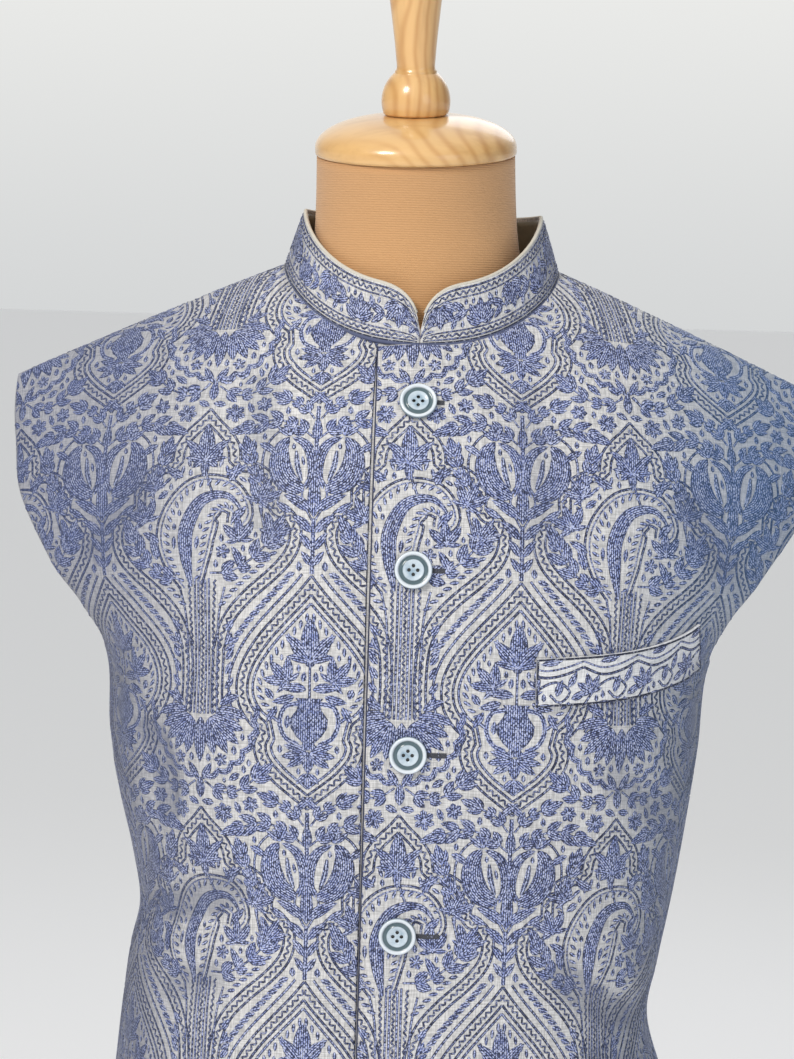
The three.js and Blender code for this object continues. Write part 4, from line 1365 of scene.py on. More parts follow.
def button_place(height, across):
    """Matrix that sets a button against the wearer's left front."""
    side = front_side(max(across, CENTRE_LEAST), height)
    turn = turn_across(1, side, across)
    centre = body_point(FRONT, 1, side, turn).reshape(3)
    normal = body_normal(FRONT, 1, side, turn).reshape(3)
    right = np.cross((0, 0, 1), normal)
    right /= np.linalg.norm(right)
    up = np.cross(normal, right)
    reach = front_left.points.reshape(-1, 3) - centre
    near = (np.abs(reach @ right) < BUTTON_RADIUS) & (np.abs(reach @ up) < BUTTON_RADIUS)
    lift = max(float((reach[near] @ normal).max()), 0) + GAP
    spot = centre + normal * lift
    rows = [[right[k], up[k], normal[k], spot[k] * MM] for k in range(3)]
    return Matrix([*rows, [0, 0, 0, 1]])


one_button = button_mesh()
button_matrices = []
for number, (height, across) in enumerate(BUTTONS, start=1):
    button = bpy.data.objects.new(f"button_shell_{number}", one_button.copy())
    bpy.context.scene.collection.objects.link(button)
    button.matrix_world = button_place(height, across)
    button_matrices.append(button.matrix_world.copy())
    belongs(button, "button", f"button_{number}")


# Embroidery. Every shape is a strip: a path, a half width along it and a rounded section. Places
# are in the flat cloth, in millimetres, with V up.
THREAD_HEIGHT = 0.45
# Each row of a section: share of the half width, share of the height, share of the tone
THIN = np.array([[-1, -0.2, 1], [0, 1, 1], [1, -0.2, 1]])
FULL = np.array([[-1, -0.2, -0.35], [-0.76, 0.8, 0.7], [0, 1, 1.12], [0.76, 0.8, 0.7], [1, -0.2, -0.35]])
SMALL = np.array([[-1, -0.2, -0.1], [0, 1, 1.25], [1, -0.2, -0.1]])
CORD = 1.0
NIGHT, DARK, MIDDLE, BLUE, PALE = -0.5, 0.06, 0.45, 1.0, 1.5
BAND = 6.6
MARK_STEP = 1.5
FULL_STEP = 2.8
LEAF_STEP = 2.6


def left_of(line):
    """Unit steps to the left of a line, at each of its points."""
    way = np.gradient(line, axis=0)
    way /= np.maximum(np.linalg.norm(way, axis=1, keepdims=True), 1e-9)
    return np.stack([-way[:, 1], way[:, 0]], axis=-1)


def angle_of(way):
    return math.degrees(math.atan2(way[1], way[0]))


def axes_at(angle):
    """Unit steps along an angle in degrees and to its left."""
    way = np.array([math.cos(math.radians(angle)), math.sin(math.radians(angle))])
    return way, np.array([-way[1], way[0]])


class Work:
    """Collects embroidered shapes, each with its stitch directions and its tone."""

    def __init__(self):
        self.points = []
        self.heights = []
        self.stitches = []
        self.tones = []
        self.faces = []
        self.marks = []
        self.total = 0
        self.flip = 1

    def placed(self, path, half):
        """The path on the side being drawn, its half widths and the length along it."""
        path = np.asarray(path, float) * (self.flip, 1)
        return path, np.broadcast_to(np.asarray(half, float), (len(path),)), run_of(path)

    def keep(self, path, half):
        """Keeps the ground clear of filling along a path."""
        path, half, along = self.placed(path, half)
        at = np.linspace(0, along[-1], int(along[-1] / MARK_STEP) + 2)
        self.marks.append(np.stack([np.interp(at, along, row) for row in (*path.T, half)], axis=-1))

    def strip(self, path, half, tone, section=FULL):
        """A raised strip along a path, with this half width, tone and section."""
        self.keep(path, half)
        path, half, along = self.placed(path, half)
        offset = half[:, None] * section[None, :, 0]
        grid = path[:, None] + left_of(path)[:, None] * offset[..., None]
        rows, columns = offset.shape
        index = self.total + np.arange(rows * columns).reshape(rows, columns)
        quad = np.stack([index[:-1, :-1], index[1:, :-1], index[1:, 1:], index[:-1, 1:]], axis=-1)
        self.points.append(grid.reshape(-1, 2))
        self.heights.append(np.tile(section[:, 1] * THREAD_HEIGHT, rows))
        self.stitches.append(np.stack([np.repeat(along, columns), offset.ravel()], axis=-1))
        self.tones.append(np.tile(section[:, 2] * tone, rows))
        self.faces.append(quad.reshape(-1, 4)[:, ::-1])
        self.total += rows * columns

    def packed(self):
        return [np.concatenate(part) for part in
                (self.points, self.heights, self.stitches, self.tones, self.faces)]


def curve(points, step=FULL_STEP):
    """Even points on a smooth curve through the given ones."""
    p = np.asarray(points, float)
    ends = np.concatenate([[2 * p[0] - p[1]], p, [2 * p[-1] - p[-2]]])
    pieces = []
    for k in range(1, len(ends) - 2):
        a, b, c, d = ends[k - 1: k + 3]
        t = np.linspace(0, 1, 12, endpoint=False)[:, None]
        pieces.append(0.5 * (
            2 * b + (c - a) * t + (2 * a - 5 * b + 4 * c - d) * t ** 2 + (3 * b - a - 3 * c + d) * t ** 3
        ))
    line = np.concatenate([*pieces, p[-1:]])
    return evened(line, step)


def evened(line, step):
    along = run_of(line)
    count = max(int(round(along[-1] / step)), 3)
    at = np.linspace(0, along[-1], count + 1)
    return np.stack([np.interp(at, along, line[:, k]) for k in (0, 1)], axis=-1)


def beside(line, distance):
    """The line moved to its left by a distance."""
    return line + left_of(line) * distance


def cord(work, line, tone=DARK, half=CORD):
    work.strip(line, half, tone, THIN)


def zigzag(work, line, reach, period, tone=DARK, half=0.8):
    even = evened(line, period / 2)
    way = np.where(np.arange(len(even)) % 2 == 0, 1.0, -1.0)
    side = beside(even, 1) - even
    cord(work, evened(even + side * (way * reach)[:, None], period / 3.4), tone, half)


def leaf(work, base, angle, length, width, bend=0.0, tone=BLUE, lean=0.8, section=FULL):
    count = max(int(length / LEAF_STEP) + 3, 6) if section is FULL else 5
    t = np.linspace(0, 1, count)
    way, side = axes_at(angle)
    line = np.asarray(base) + way * length * t[:, None] + side * bend * t[:, None] ** 2
    half = width / 2 * np.sin(np.pi * t ** lean) ** 0.75
    half[0] = min(0.5, width / 6)
    half[-1] = 0
    work.strip(line, half, tone, section)


def disc(work, centre, radius, tone=BLUE):
    t = np.linspace(-1, 1, 9)
    line = np.asarray(centre) + np.stack([t * 0, t * radius], axis=-1)
    work.strip(line, radius * np.sqrt(np.maximum(1 - t * t, 0)), tone)


def fan(work, base, angle, size, count, spread, width, tone=BLUE, side_share=0.62):
    for k in range(count):
        turn = (k / (count - 1) - 0.5) * spread
        share = side_share + (1 - side_share) * math.cos(math.radians(turn))
        leaf(work, base, angle + turn, size * share, width, bend=-turn * 0.035 * size / 14, tone=tone)


def tulip(work, base, angle, size, tone=BLUE):
    leaf(work, base, angle, size, size * 0.46, tone=tone, lean=0.9)
    for hand in (-1, 1):
        leaf(work, base, angle + hand * 33, size * 0.84, size * 0.3, bend=hand * size * 0.16, tone=tone)
        leaf(work, base, angle + hand * 68, size * 0.56, size * 0.22, bend=hand * size * 0.1, tone=tone)
    disc(work, base, size * 0.13, MIDDLE)


def trefoil(work, base, angle, size, tone=BLUE):
    fan(work, base, angle, size, 3, 104, size * 0.46, tone, 0.8)
    for hand in (-1, 1):
        leaf(work, base, angle + hand * 112, size * 0.6, size * 0.26, bend=hand * -2, tone=tone)
    disc(work, base, size * 0.16, MIDDLE)


def spray(work, points, size, width, gap, tone=BLUE, tip=True, opening=42):
    """A stem with leaves in pairs along it."""
    line = curve(points)
    cord(work, line, MIDDLE, 0.85)
    along = evened(line, gap)
    way = np.gradient(along, axis=0)
    for k in range(1, len(along)):
        angle = angle_of(way[k])
        share = 0.78 + 0.22 * math.cos(k * 1.7)
        for hand in (-1, 1):
            if k == len(along) - 1 and not tip:
                continue
            base = along[k] - way[k] * 0.25
            leaf(work, base, angle + hand * opening, size * share, width, hand * -2.2, tone)
    if tip:
        leaf(work, along[-1], angle, size * 1.15, width * 1.15, tone=tone)


def pomegranate(work, base, angle, size, hand):
    """A fruit in two bent lobes with an open slit, a crown and an arch over it."""
    way, side = axes_at(angle)
    side = side * hand
    base = np.asarray(base, float)

    def spot(up, out):
        return base + way * up * size + side * out * size

    fat = curve([spot(0, 0), spot(0.25, 0.24), spot(0.55, 0.3), spot(0.85, 0.2), spot(1.0, 0.02)], 2.2)
    t = np.linspace(0, 1, len(fat))
    work.strip(fat, size * 0.21 * np.sin(np.pi * t ** 0.85) ** 0.6, BLUE)
    thin = [spot(0.02, -0.03), spot(0.25, -0.2), spot(0.55, -0.26), spot(0.8, -0.2), spot(0.98, -0.02)]
    thin = curve(thin, 2.2)
    t = np.linspace(0, 1, len(thin))
    work.strip(thin, size * 0.1 * np.sin(np.pi * t) ** 0.5, BLUE)
    seed = curve([spot(0.18, 0.0), spot(0.45, 0.01), spot(0.72, -0.03)], 2.0)
    work.strip(seed, size * 0.05 * np.sin(np.pi * np.linspace(0.06, 0.94, len(seed))) ** 0.5, PALE)
    arch = curve([spot(0.1, 0.46), spot(0.5, 0.6), spot(0.95, 0.45), spot(1.17, 0.1), spot(1.0, -0.3)], 2.4)
    cord(work, arch, MIDDLE)
    for turn in (-38, 0, 38):
        leaf(work, spot(1.02, 0), angle + turn, size * 0.3, size * 0.13)


def paisley(work, foot, size, hand):
    """A large curled drop whose tail runs on downwards as a striped band."""
    foot = np.asarray(foot, float)

    def spot(x, y):
        return foot + np.array([x * hand, y]) * size

    spine = [
        spot(0.05, -0.35), spot(-0.02, 0.05), spot(-0.02, 0.4), spot(0.16, 0.74), spot(0.48, 0.82),
        spot(0.68, 0.62), spot(0.6, 0.42),
    ]
    spine = curve(spine, 2.2)
    t = np.linspace(0, 1, len(spine))
    half = size * (0.06 + 0.24 * np.sin(np.pi * np.clip(t * 1.12, 0, 1) ** 0.8) ** 1.3)
    half[-3:] *= (0.8, 0.5, 0.05)
    outer = beside(spine, 1) - spine
    for way in (-1, 1):
        cord(work, spine + outer * ((half + 4.2) * way)[:, None], DARK)
        cord(work, spine + outer * ((half + 1.5) * way)[:, None], MIDDLE, 0.6)
    work.strip(spine, half * 0.36, BLUE)
    for way in (-1, 1):
        middle = spine + outer * (half * 0.72 * way)[:, None]
        dots = evened(middle, 4.6)
        direction = np.gradient(dots, axis=0)
        for k in range(1, len(dots) - 2):
            room = float(np.interp(k / len(dots), t, half))
            if room > 3:
                leaf(work, dots[k], angle_of(direction[k]) + way * 50, min(room * 0.55, 5), 2.4)


def stalk(work, points, tone=MIDDLE, half=CORD):
    cord(work, curve(points), tone, half)


def leaves(work, rows):
    """Leaves from rows of base, angle, length, width and, where it isn't nought, bend."""
    for row in rows:
        leaf(work, *row)


def leaf_row(work, line, first, share, turn, length, width, step=2):
    """Small leaves at every few points of a line, turned from its way."""
    for k in range(first, int(len(line) * share), step):
        leaf(work, line[k], angle_of(line[k + 1] - line[k]) + turn, length, width, section=SMALL)


def mirrored(work, draw):
    for flip in (1, -1):
        work.flip = flip
        draw()
    work.flip = 1


def inset(lines, distance):
    """A line at a distance inside a run of lobes, trimmed where the lobes and the two halves meet."""
    fine = [evened(line, 1.0) for line in lines]
    outer = np.concatenate(fine)
    moved = np.concatenate([beside(line, -distance) for line in fine])
    gap = np.linalg.norm(moved[:, None] - outer[None], axis=2).min(axis=1)
    kept = moved[(gap > distance * 0.95) & (moved[:, 0] > 0.01)]
    if lines[0][0, 0] == 0:
        first = kept[0] + (kept[0] - kept[2]) * kept[0, 0] / max(kept[2, 0] - kept[0, 0], 0.1)
        kept = np.concatenate([[(0, first[1])], kept])
    if lines[-1][-1, 0] == 0:
        last = kept[-1] + (kept[-1] - kept[-3]) * kept[-1, 0] / max(kept[-3, 0] - kept[-1, 0], 0.1)
        kept = np.concatenate([kept, [(0, last[1])]])
    return evened(kept, LEAF_STEP)


def frame_band(work, lines, tone=DARK):
    """Two cords with a zigzag between them, inside a run of lobes."""
    for line in lines:
        cord(work, line, tone)
    cord(work, inset(lines, BAND), tone)
    middle = inset(lines, BAND / 2)
    zigzag(work, middle, 1.25, 4.6)
    work.keep(middle, BAND / 2 + 1.6)


def arch_motif():
    """The pointed and lobed arch with a paisley and flowers in it, on a striped stem with a fan."""
    work = Work()
    lobes = [
        curve([(0, 0), (6, -7), (13, -14), (19, -23), (20.5, -33)]),
        curve([(20.5, -33), (29, -34), (38, -39.5), (43.5, -48.5), (43.5, -60)]),
        curve([(43.5, -60), (51, -62.5), (57, -70.5), (58, -80.5), (54, -91.5), (44.5, -102.5), (31, -114.5),
               (20, -127), (14.5, -141), (13, -160), (13.5, -181)]),
    ]

    def half():
        frame_band(work, lobes)
        stalk(work, [(14, -108), (10.6, -124), (9.8, -142), (9.4, -160), (10.4, -182)], half=0.9)
        zigzag(work, curve([(8, -104), (7.2, -130), (6.8, -160), (7.8, -182)]), 0.8, 3.8)
        stalk(work, [(4.4, -103), (4.4, -140), (4.6, -182)], half=0.9)
        stalk(work, [(2.2, -104), (2.2, -140), (2.3, -182)], BLUE, 0.9)
        fan(work, (6, -184), -50, 24, 4, 76, 9.2)
        leaves(work, [((10, -180), 6, 19, 7.6, -6), ((12, -176), 34, 13, 6.0, -2)])
        scallops = []
        for k in range(6):
            angle = math.radians(-86 + k * 17)
            for bulge in np.linspace(0, 1, 5, endpoint=False):
                reach = 32.5 + 2.8 * math.sin(math.pi * bulge)
                turn = angle + math.radians(17) * bulge
                scallops.append((reach * math.cos(turn), -184 + reach * math.sin(turn) * 1.02))
        work.strip(evened(np.array(scallops), 2.4), 1.9, BLUE)
        leaf_row(work, inset(lobes, BAND + 3.4), 4, 0.68, -34, 5.8, 3.2)
        spray(work, [(3, -222), (13, -228), (25, -226), (35, -218)], 11.5, 6.0, 8.5)
        leaf(work, (1.5, -221), 60, 12, 5.4)
        for k in range(6):
            leaf(work, (15.0, -133 - 8.4 * k), 48 + 10 * (k % 2), 8.2, 4.4, 1.0)

    mirrored(work, half)
    zigzag(work, curve([(0, -104), (0, -140), (0, -182)]), 0.8, 3.6, DARK)
    leaves(work, [((0, -184), -90, 27, 9), ((0, -232), 90, 13, 6.4)])
    tulip(work, (0, -34), 90, 23)
    fan(work, (0, -32), -90, 12, 3, 130, 6.0)
    stalk(work, [(0, -34), (2, -44), (5, -52)])
    paisley(work, (-9, -92), 46, 1)
    spray(work, [(5, -100), (17, -99), (29, -92), (39, -82)], 13.5, 7.2, 9.0)
    trefoil(work, (41, -77), 58, 14)
    trefoil(work, (33, -57), 66, 15)
    stalk(work, [(38, -82), (36, -72), (33, -60)])
    trefoil(work, (22, -80), 96, 14)
    leaves(work, [((25, -62), 215, 12, 5.6, 3), ((24, -96), 110, 13, 5.6, 2)])
    spray(work, [(-12, -104), (-25, -101), (-37, -92), (-44, -79)], 12.5, 6.8, 9.0)
    trefoil(work, (-36, -68), 112, 15)
    trefoil(work, (-30, -49), 124, 12.5)
    leaves(work, [
        ((-28, -92), 100, 14, 6, 2), ((-27, -82), 140, 12, 5.6, 2), ((13, -42), 20, 13, 6.2, 2),
        ((15, -46), 58, 12, 5.6, 2), ((-13, -43), 158, 13, 6.2, -2),
    ])
    work.keep([(0, -104), (0, -184)], 9.5)
    return work


def drop_motif():
    """The pointed drop with a vase of flowers, and the fruit and leaves above it."""
    work = Work()
    lobes = [
        curve([(0, -101), (8, -111), (19, -123), (30, -135.5), (39, -149), (43, -162), (41.5, -175),
               (35, -185.5), (28.5, -191)]),
        curve([(28.5, -191), (31.5, -198.5), (29, -209), (20, -220), (9, -229), (0, -236)]),
    ]

    def half():
        frame_band(work, lobes)
        cord(work, inset(lobes, BAND + 3.2), MIDDLE)
        leaf_row(work, inset(lobes, BAND + 5.6), 1, 0.62, -38, 5.4, 3.0)
        trefoil(work, (13.5, -161), 48, 15)
        leaves(work, [
            ((1, -149), 36, 15, 6.4, 2), ((2, -166), 14, 15, 6.4, -3), ((9, -170), -24, 13, 5.8, 2),
        ])
        stalk(work, [(6, -174), (14, -176), (17, -185), (13.5, -194), (6, -198)], BLUE, 1.7)
        leaf(work, (19, -176), -64, 11, 5.0, 1)
        fan(work, (1, -203), -8, 15, 3, 66, 6.4)
        leaf(work, (0, -215), -42, 9, 4.6)
        cord(work, evened(beside(lobes[0], 4.9), LEAF_STEP)[1:-5], MIDDLE)
        leaf_row(work, evened(beside(lobes[0], 8.6), 5.0), 1, 0.5, 30, 7.0, 4.2, 1)
        pomegranate(work, (6, -52), 74, 35, -1)
        spray(work, [(1.5, -20), (12, -12), (26, -7), (40, -11)], 12.0, 6.2, 9.0)
        spray(work, [(2, -8), (9, 1), (19, 6)], 10.5, 5.4, 7.5)
        spray(work, [(30, -50), (36, -40), (40, -27)], 9.5, 5.6, 7.0)
        leaves(work, [
            ((34, -22), 200, 12, 5.2, 3), ((1.5, -64), 46, 19, 7.2, -5), ((1.5, -76), 56, 15, 6.2, -4),
            ((1, -86), 62, 12, 5.2, -2), ((0.8, -95), 60, 10, 4.6, -1), ((13, -64), 24, 11, 5.0, 2),
        ])
        stalk(work, [(0, -40), (6.4, -49), (6.6, -58), (1, -69)], half=0.9)
        leaf(work, (6, -236), 140, 12, 5.4)

    mirrored(work, half)
    stalk(work, [(0, 0), (0, -22), (0, -40)], BLUE, 1.6)
    stalk(work, [(0, -68), (0, -82), (0, -100)], BLUE, 1.6)
    leaves(work, [((0, -67), 90, 25, 8.4), ((0, -22), 90, 15, 6.6)])
    tulip(work, (0, -150), 90, 25)
    stalk(work, [(0, -152), (0, -172)])
    body = [(0, -171), (0, -174), (0, -178), (0, -183), (0, -188), (0, -193), (0, -197), (0, -201)]
    work.strip(body, [8.5, 6.4, 7.8, 11.6, 11.2, 8.0, 3.6, 6.4], BLUE)
    leaf(work, (0, -202), -90, 13, 8)
    disc(work, (0, -220), 2.8)
    return work


REPEAT = (130.0, 238.0)
FILL_REACH = 12
FILL_GAP = 1.0
FILL_LEAST = 1.9
FILL_MOST = 700
FILL_FAR = 20.0
FILL_LENGTHS = (6, 8, 10.5, 13, 16)
FILL_WIDEST = 5.6
# Free room from which a flower has six or five petals, and a gap gets a round bud
SIX_FROM = 5.6
FIVE_FROM = 4.3
BUD_FROM = 2.3


def take_room(room, marks):
    """Lowers the free room round marks, on a repeat that runs on over its own edges."""
    rows, columns = room.shape
    span = np.arange(-FILL_REACH, FILL_REACH + 1)
    for x, y, half in marks:
        column = int(math.floor(x))
        row = int(math.floor(-y))
        reach = np.hypot((column + span + 0.5 - x)[None, :], (row + span + 0.5 + y)[:, None]) - half
        spot = np.ix_((row + span) % rows, (column + span) % columns)
        room[spot] = np.minimum(room[spot], reach)


def petal(work, spot, angle, length, width):
    leaf(work, spot, angle, length, width, lean=1.6, section=SMALL)


def fill_motif(works, size=REPEAT):
    """Small flowers, leaves and buds in what the motifs leave of one repeat."""
    room = np.full((int(size[1]), int(size[0])), FILL_FAR)
    for work, shift in works:
        take_room(room, np.concatenate(work.marks) + (shift, 0, 0))
    fill = Work()
    seen = 0
    t = np.linspace(-0.5, 0.5, 7)
    swell = np.sin(np.pi * (t + 0.5) ** 0.8) ** 0.75
    while room.max() > FILL_LEAST and len(fill.points) < FILL_MOST:
        row, column = divmod(int(room.argmax()), room.shape[1])
        free = float(room[row, column])
        spot = np.array([column + 0.5, -row - 0.5])
        phase = (row * 37 + column * 53) % 180
        if free > SIX_FROM:
            for k in range(6):
                petal(fill, spot, phase + 60 * k, free - FILL_GAP * 0.7, free * 0.72)
        elif free > FIVE_FROM:
            for k in range(5):
                petal(fill, spot, phase + 72 * k, free - FILL_GAP * 0.5, free * 0.8)
        else:
            width = min(2 * (free - FILL_GAP * 0.45), FILL_WIDEST)
            best = (0, 0)
            for length in FILL_LENGTHS:
                for step in range(12):
                    angle = math.radians(phase + 15 * step)
                    points = spot + np.outer(t * length, (math.cos(angle), math.sin(angle)))
                    rows = np.floor(-points[:, 1]).astype(int) % room.shape[0]
                    columns = np.floor(points[:, 0]).astype(int) % room.shape[1]
                    fits = (room[rows, columns] >= width / 2 * swell + FILL_GAP * 0.4).all()
                    if fits and length > best[0]:
                        best = (length, angle)
            length, angle = best
            if length:
                base = spot - np.array([math.cos(angle), math.sin(angle)]) * length / 2
                leaf(fill, base, math.degrees(angle), length, width, section=SMALL)
            elif free > BUD_FROM:
                leaf(fill, spot - (0, free * 0.8), 90, free * 1.6, free * 1.3, section=SMALL)
            else:
                room[row, column] = 0
        if len(fill.marks) > seen:
            take_room(room, np.concatenate(fill.marks[seen:]))
            seen = len(fill.marks)
            room[row, column] = 0
    return fill


arch_work = arch_motif()
drop_work = drop_motif()
fill_work = fill_motif([(arch_work, 0.0), (drop_work, REPEAT[0] / 2)])
ARCH = arch_work.packed()
DROP = drop_work.packed()
FILL = fill_work.packed()


class Band:
    """A straight piece, such as the collar, with its own even grid to work on."""

    def __init__(self, points, normals, along, up):
        self.points = points
        self.normals = normals
        self.along = along
        self.up = up

    def locate(self, flat):
        column = np.interp(flat[:, 0], self.along, np.arange(len(self.along)))
        row = np.clip(flat[:, 1] / self.up, 0, 1) * (self.points.shape[0] - 1)
        inside = (flat[:, 0] > self.along[0]) & (flat[:, 0] < self.along[-1])
        inside &= (flat[:, 1] > 0) & (flat[:, 1] < self.up)
        return np.stack([row, column], axis=-1), inside


# Thread within this reach of a button is pressed to a share of its height
UNDER_ROOM = 0.6
UNDER_DEPTH = 20
UNDER_SHARE = 0.2


def embroider(name, surface, layings, low, size, holes=(), material=None):
    """One piece of embroidery: each laying is a packed work and the places where it is repeated."""
    points, stitches, tones, bakes, faces = [], [], [], [], []
    total = 0
    for (flat, height, stitch, tone, quads), origins in layings:
        for origin in origins:
            place = flat + origin
            where, inside = surface.locate(place)
            ok = inside[quads].any(axis=1) & ~np.isnan(where[quads]).any(axis=(1, 2))
            used = quads[ok]
            if not len(used):
                continue
            kept, index = np.unique(used, return_inverse=True)
            rise = np.where(inside[kept], height[kept], 0.0)
            spot = lifted(surface, where[kept], rise)
            for matrix in holes:
                local = (spot * MM - np.array(matrix.translation)) @ np.array(matrix.to_3x3())
                under = np.hypot(local[:, 0], local[:, 1]) < (BUTTON_RADIUS + UNDER_ROOM) * MM
                under &= np.abs(local[:, 2]) < UNDER_DEPTH * MM
                rise = np.where(under, rise * UNDER_SHARE, rise)
                spot = lifted(surface, where[kept], rise)
            points.append(spot)
            stitches.append(stitch[kept])
            tones.append(tone[kept])
            bakes.append((place[kept] - low) / size)
            faces.append(index.reshape(-1, 4) + total)
            total += len(kept)
    points = np.concatenate(points)
    piece = add_mesh(name, points, np.concatenate(faces), material or thread_material)
    add_uv(piece.data, "stitch", np.concatenate(stitches))
    add_uv(piece.data, "OFBake", np.clip(np.concatenate(bakes), 0, 1))
    add_value(piece.data, "tone", np.concatenate(tones))
    if isinstance(surface, Panel):
        # the fold height drives the painted shade in the fold troughs
        add_value(piece.data, "fold", fold_height(surface.face, points))
    return belongs(piece, "cloth")


ARCH_TOP = 709.0
LAP_CLEAR = LAP + 0.6
MOTIF_REACH = 70  # how far a motif reaches to each side of its place


def repeats(panel, arch_u):
    """Places of the two motifs over a panel: half a repeat lower and to the side of each other."""
    top = panel.height_to_flat(ARCH_TOP)
    low = panel.flat.min(axis=(0, 1)) - MOTIF_REACH
    high = panel.flat.max(axis=(0, 1)) + MOTIF_REACH
    arches, drops, fills = [], [], []
    for row in range(-3, 4):
        for column in range(-4, 5):
            u = arch_u + column * REPEAT[0]
            v = top + row * REPEAT[1]
            if v < low[1] - 10 or v > high[1] + 170:
                continue
            if low[0] < u + REPEAT[0] and u < high[0]:
                fills.append((u, v))
            if low[0] < u < high[0]:
                arches.append((u, v))
            if low[0] < u + REPEAT[0] / 2 < high[0]:
                drops.append((u + REPEAT[0] / 2, v))
    return [(ARCH, arches), (DROP, drops), (FILL, fills)]


def edge_rows(panel, places):
    """Rows of thread that run up the front, at these distances from the centre. Here the one row is a
    painted shadow beside the lap's edge.
    """
    work = Work()
    top = float(panel.front_line[panel.neck_index])
    for u, tone, half in places:
        cord(work, np.linspace((u, 0.5), (u, top - 0.5), int(top / 6)), tone, half)
    return work.packed()


def embroider_panel(name, panel, arch_u, keep_from=None, holes=(), extra=()):
    panel.raster(keep_from=keep_from)
    low = panel.flat.min(axis=(0, 1)) - 30
    size = float(np.ptp(panel.flat, axis=(0, 1)).max()) + 60
    return embroider(name, panel, [*repeats(panel, arch_u), *extra], low, size, holes)


work_left = embroider_panel("embroidery_front_left", front_left, -4, holes=button_matrices)
# A near-black row on the underlap, just past the lap's edge: painted shadow of the lap
lap_shadow_rows = edge_rows(front_right, [(-LAP - 1.6, NIGHT, 0.9)])
work_right = embroider_panel(
    "embroidery_front_right", front_right, -122, keep_from=LAP_CLEAR, extra=[(lap_shadow_rows, [(0, 0)])]
)
work_back_left = embroider_panel("embroidery_back_left", back_left, 0)
work_back_right = embroider_panel("embroidery_back_right", back_right, 0)


COLLAR_REPEAT = (52.0, 35.0)


def collar_lines():
    """Bordered lines of zigzag along the collar's top and bottom."""
    work = Work()
    count = int(seam_length / 3)

    def level(height):
        return np.linspace((1.5, height), (seam_length - 1.5, height), count)

    for height, tone, half in ((32.0, DARK, 0.85), (26.6, DARK, 0.7), (7.0, DARK, 0.7), (2.4, DARK, 0.8)):
        cord(work, level(height), tone, half)
    cord(work, level(0.5), NIGHT, 0.7)
    zigzag(work, level(29.3), 1.4, 4.6, DARK)
    zigzag(work, level(4.7), 1.0, 4.4, DARK)
    return work.packed()


def collar_motif():
    """One repeat of the collar's running stem with its flowers, from the top edge downwards."""
    work = Work()
    work.keep([(0, -4.4), (52, -4.4)], 4.6)
    work.keep([(0, -31.6), (52, -31.6)], 4.2)
    t = np.linspace(0, 52, 20)
    cord(work, np.stack([t, -18.5 + 3.6 * np.sin(2 * np.pi * t / 52)], axis=-1), DARK, 0.8)
    fan(work, (13, -25.5), 90, 15.5, 5, 150, 7.2)
    fan(work, (39, -10.5), -90, 15.5, 5, 150, 7.2)
    leaves(work, [
        ((22, -16.5), -32, 13, 6.0, 2), ((24, -17.5), 52, 10, 5.2, -1), ((48, -20), 36, 12, 5.8, -2),
        ((49, -19), -50, 10, 5.0, 1), ((30, -21), -70, 6.5, 4.0), ((4, -16), 70, 7, 4.2),
    ])
    return work


collar_points, collar_normals, _ = band_grid(0, 0)
collar_band = Band(collar_points, collar_normals, seam_along, COLLAR_HEIGHT)
collar_flowers = collar_motif()
collar_filling = fill_motif([(collar_flowers, 0)], COLLAR_REPEAT)
collar_places = [(u, COLLAR_REPEAT[1]) for u in np.arange(-26.0, seam_length, COLLAR_REPEAT[0])]
collar_layings = [
    (collar_lines(), [(0, 0)]),
    (collar_flowers.packed(), collar_places),
    (collar_filling.packed(), collar_places),
]
collar_thread = embroider(
    "embroidery_collar", collar_band, collar_layings, np.array([-5.0, -5.0]), seam_length + 10
)


welt_top = float(welt_flat[-1, 0, 1])
welt_length = float(welt_flat[0, -1, 0])
WELT_REPEAT = (36.0, 32.0)


def welt_lines():
    """Dark rows that bind the welt's top, foot and ends."""
    work = Work()
    for height in (0.7, welt_top - 0.8):
        cord(work, np.linspace((0.3, height), (welt_length - 0.3, height), 40), NIGHT, 0.75)
    for u in (0.7, welt_length - 0.7):
        cord(work, np.linspace((u, 0.4), (u, welt_top - 0.4), 14), NIGHT, 0.75)
    return work.packed()


def welt_motif():
    """Open scrolls and leaves on the welt, whose cloth and thread are paler copies with less painted shade:
    painted light on the welt.
    """
    work = Work()
    stalk(work, [(0, -29), (9, -18), (20, -14), (28, -20), (22, -26), (16, -21)])
    stalk(work, [(0, -6), (12, -11), (24, -10), (36, -6)], DARK)
    stalk(work, [(0, -2.6), (12, -7), (24, -6), (36, -2.6)], half=0.7)
    trefoil(work, (5, -20), 105, 11)
    leaves(work, [
        ((20, -22), 70, 10, 5.4), ((29, -24), 15, 10, 5.0, 2), ((27, -17), 50, 10, 4.6, 2),
        ((9, -28), -5, 11, 4.8),
    ])
    return work


welt_flowers = welt_motif()
welt_filling = fill_motif([(welt_flowers, 0)], WELT_REPEAT)
welt_places = [(u, welt_top) for u in np.arange(-8.0, welt_length, WELT_REPEAT[0])]
welt_layings = [
    (welt_lines(), [(0, 0)]), (welt_flowers.packed(), welt_places), (welt_filling.packed(), welt_places)
]
welt_band = Band(welt_points, welt_normals, welt_flat[0, :, 0], welt_top)
welt_thread = embroider(
    "embroidery_welt", welt_band, welt_layings, np.array([-5.0, -5.0]), 120.0, material=lightly_shaded_thread
)


# Collar's piping, buttonholes and rows of stitching
PIPING_RADIUS = 1.1
TUBE_SIDES = 8


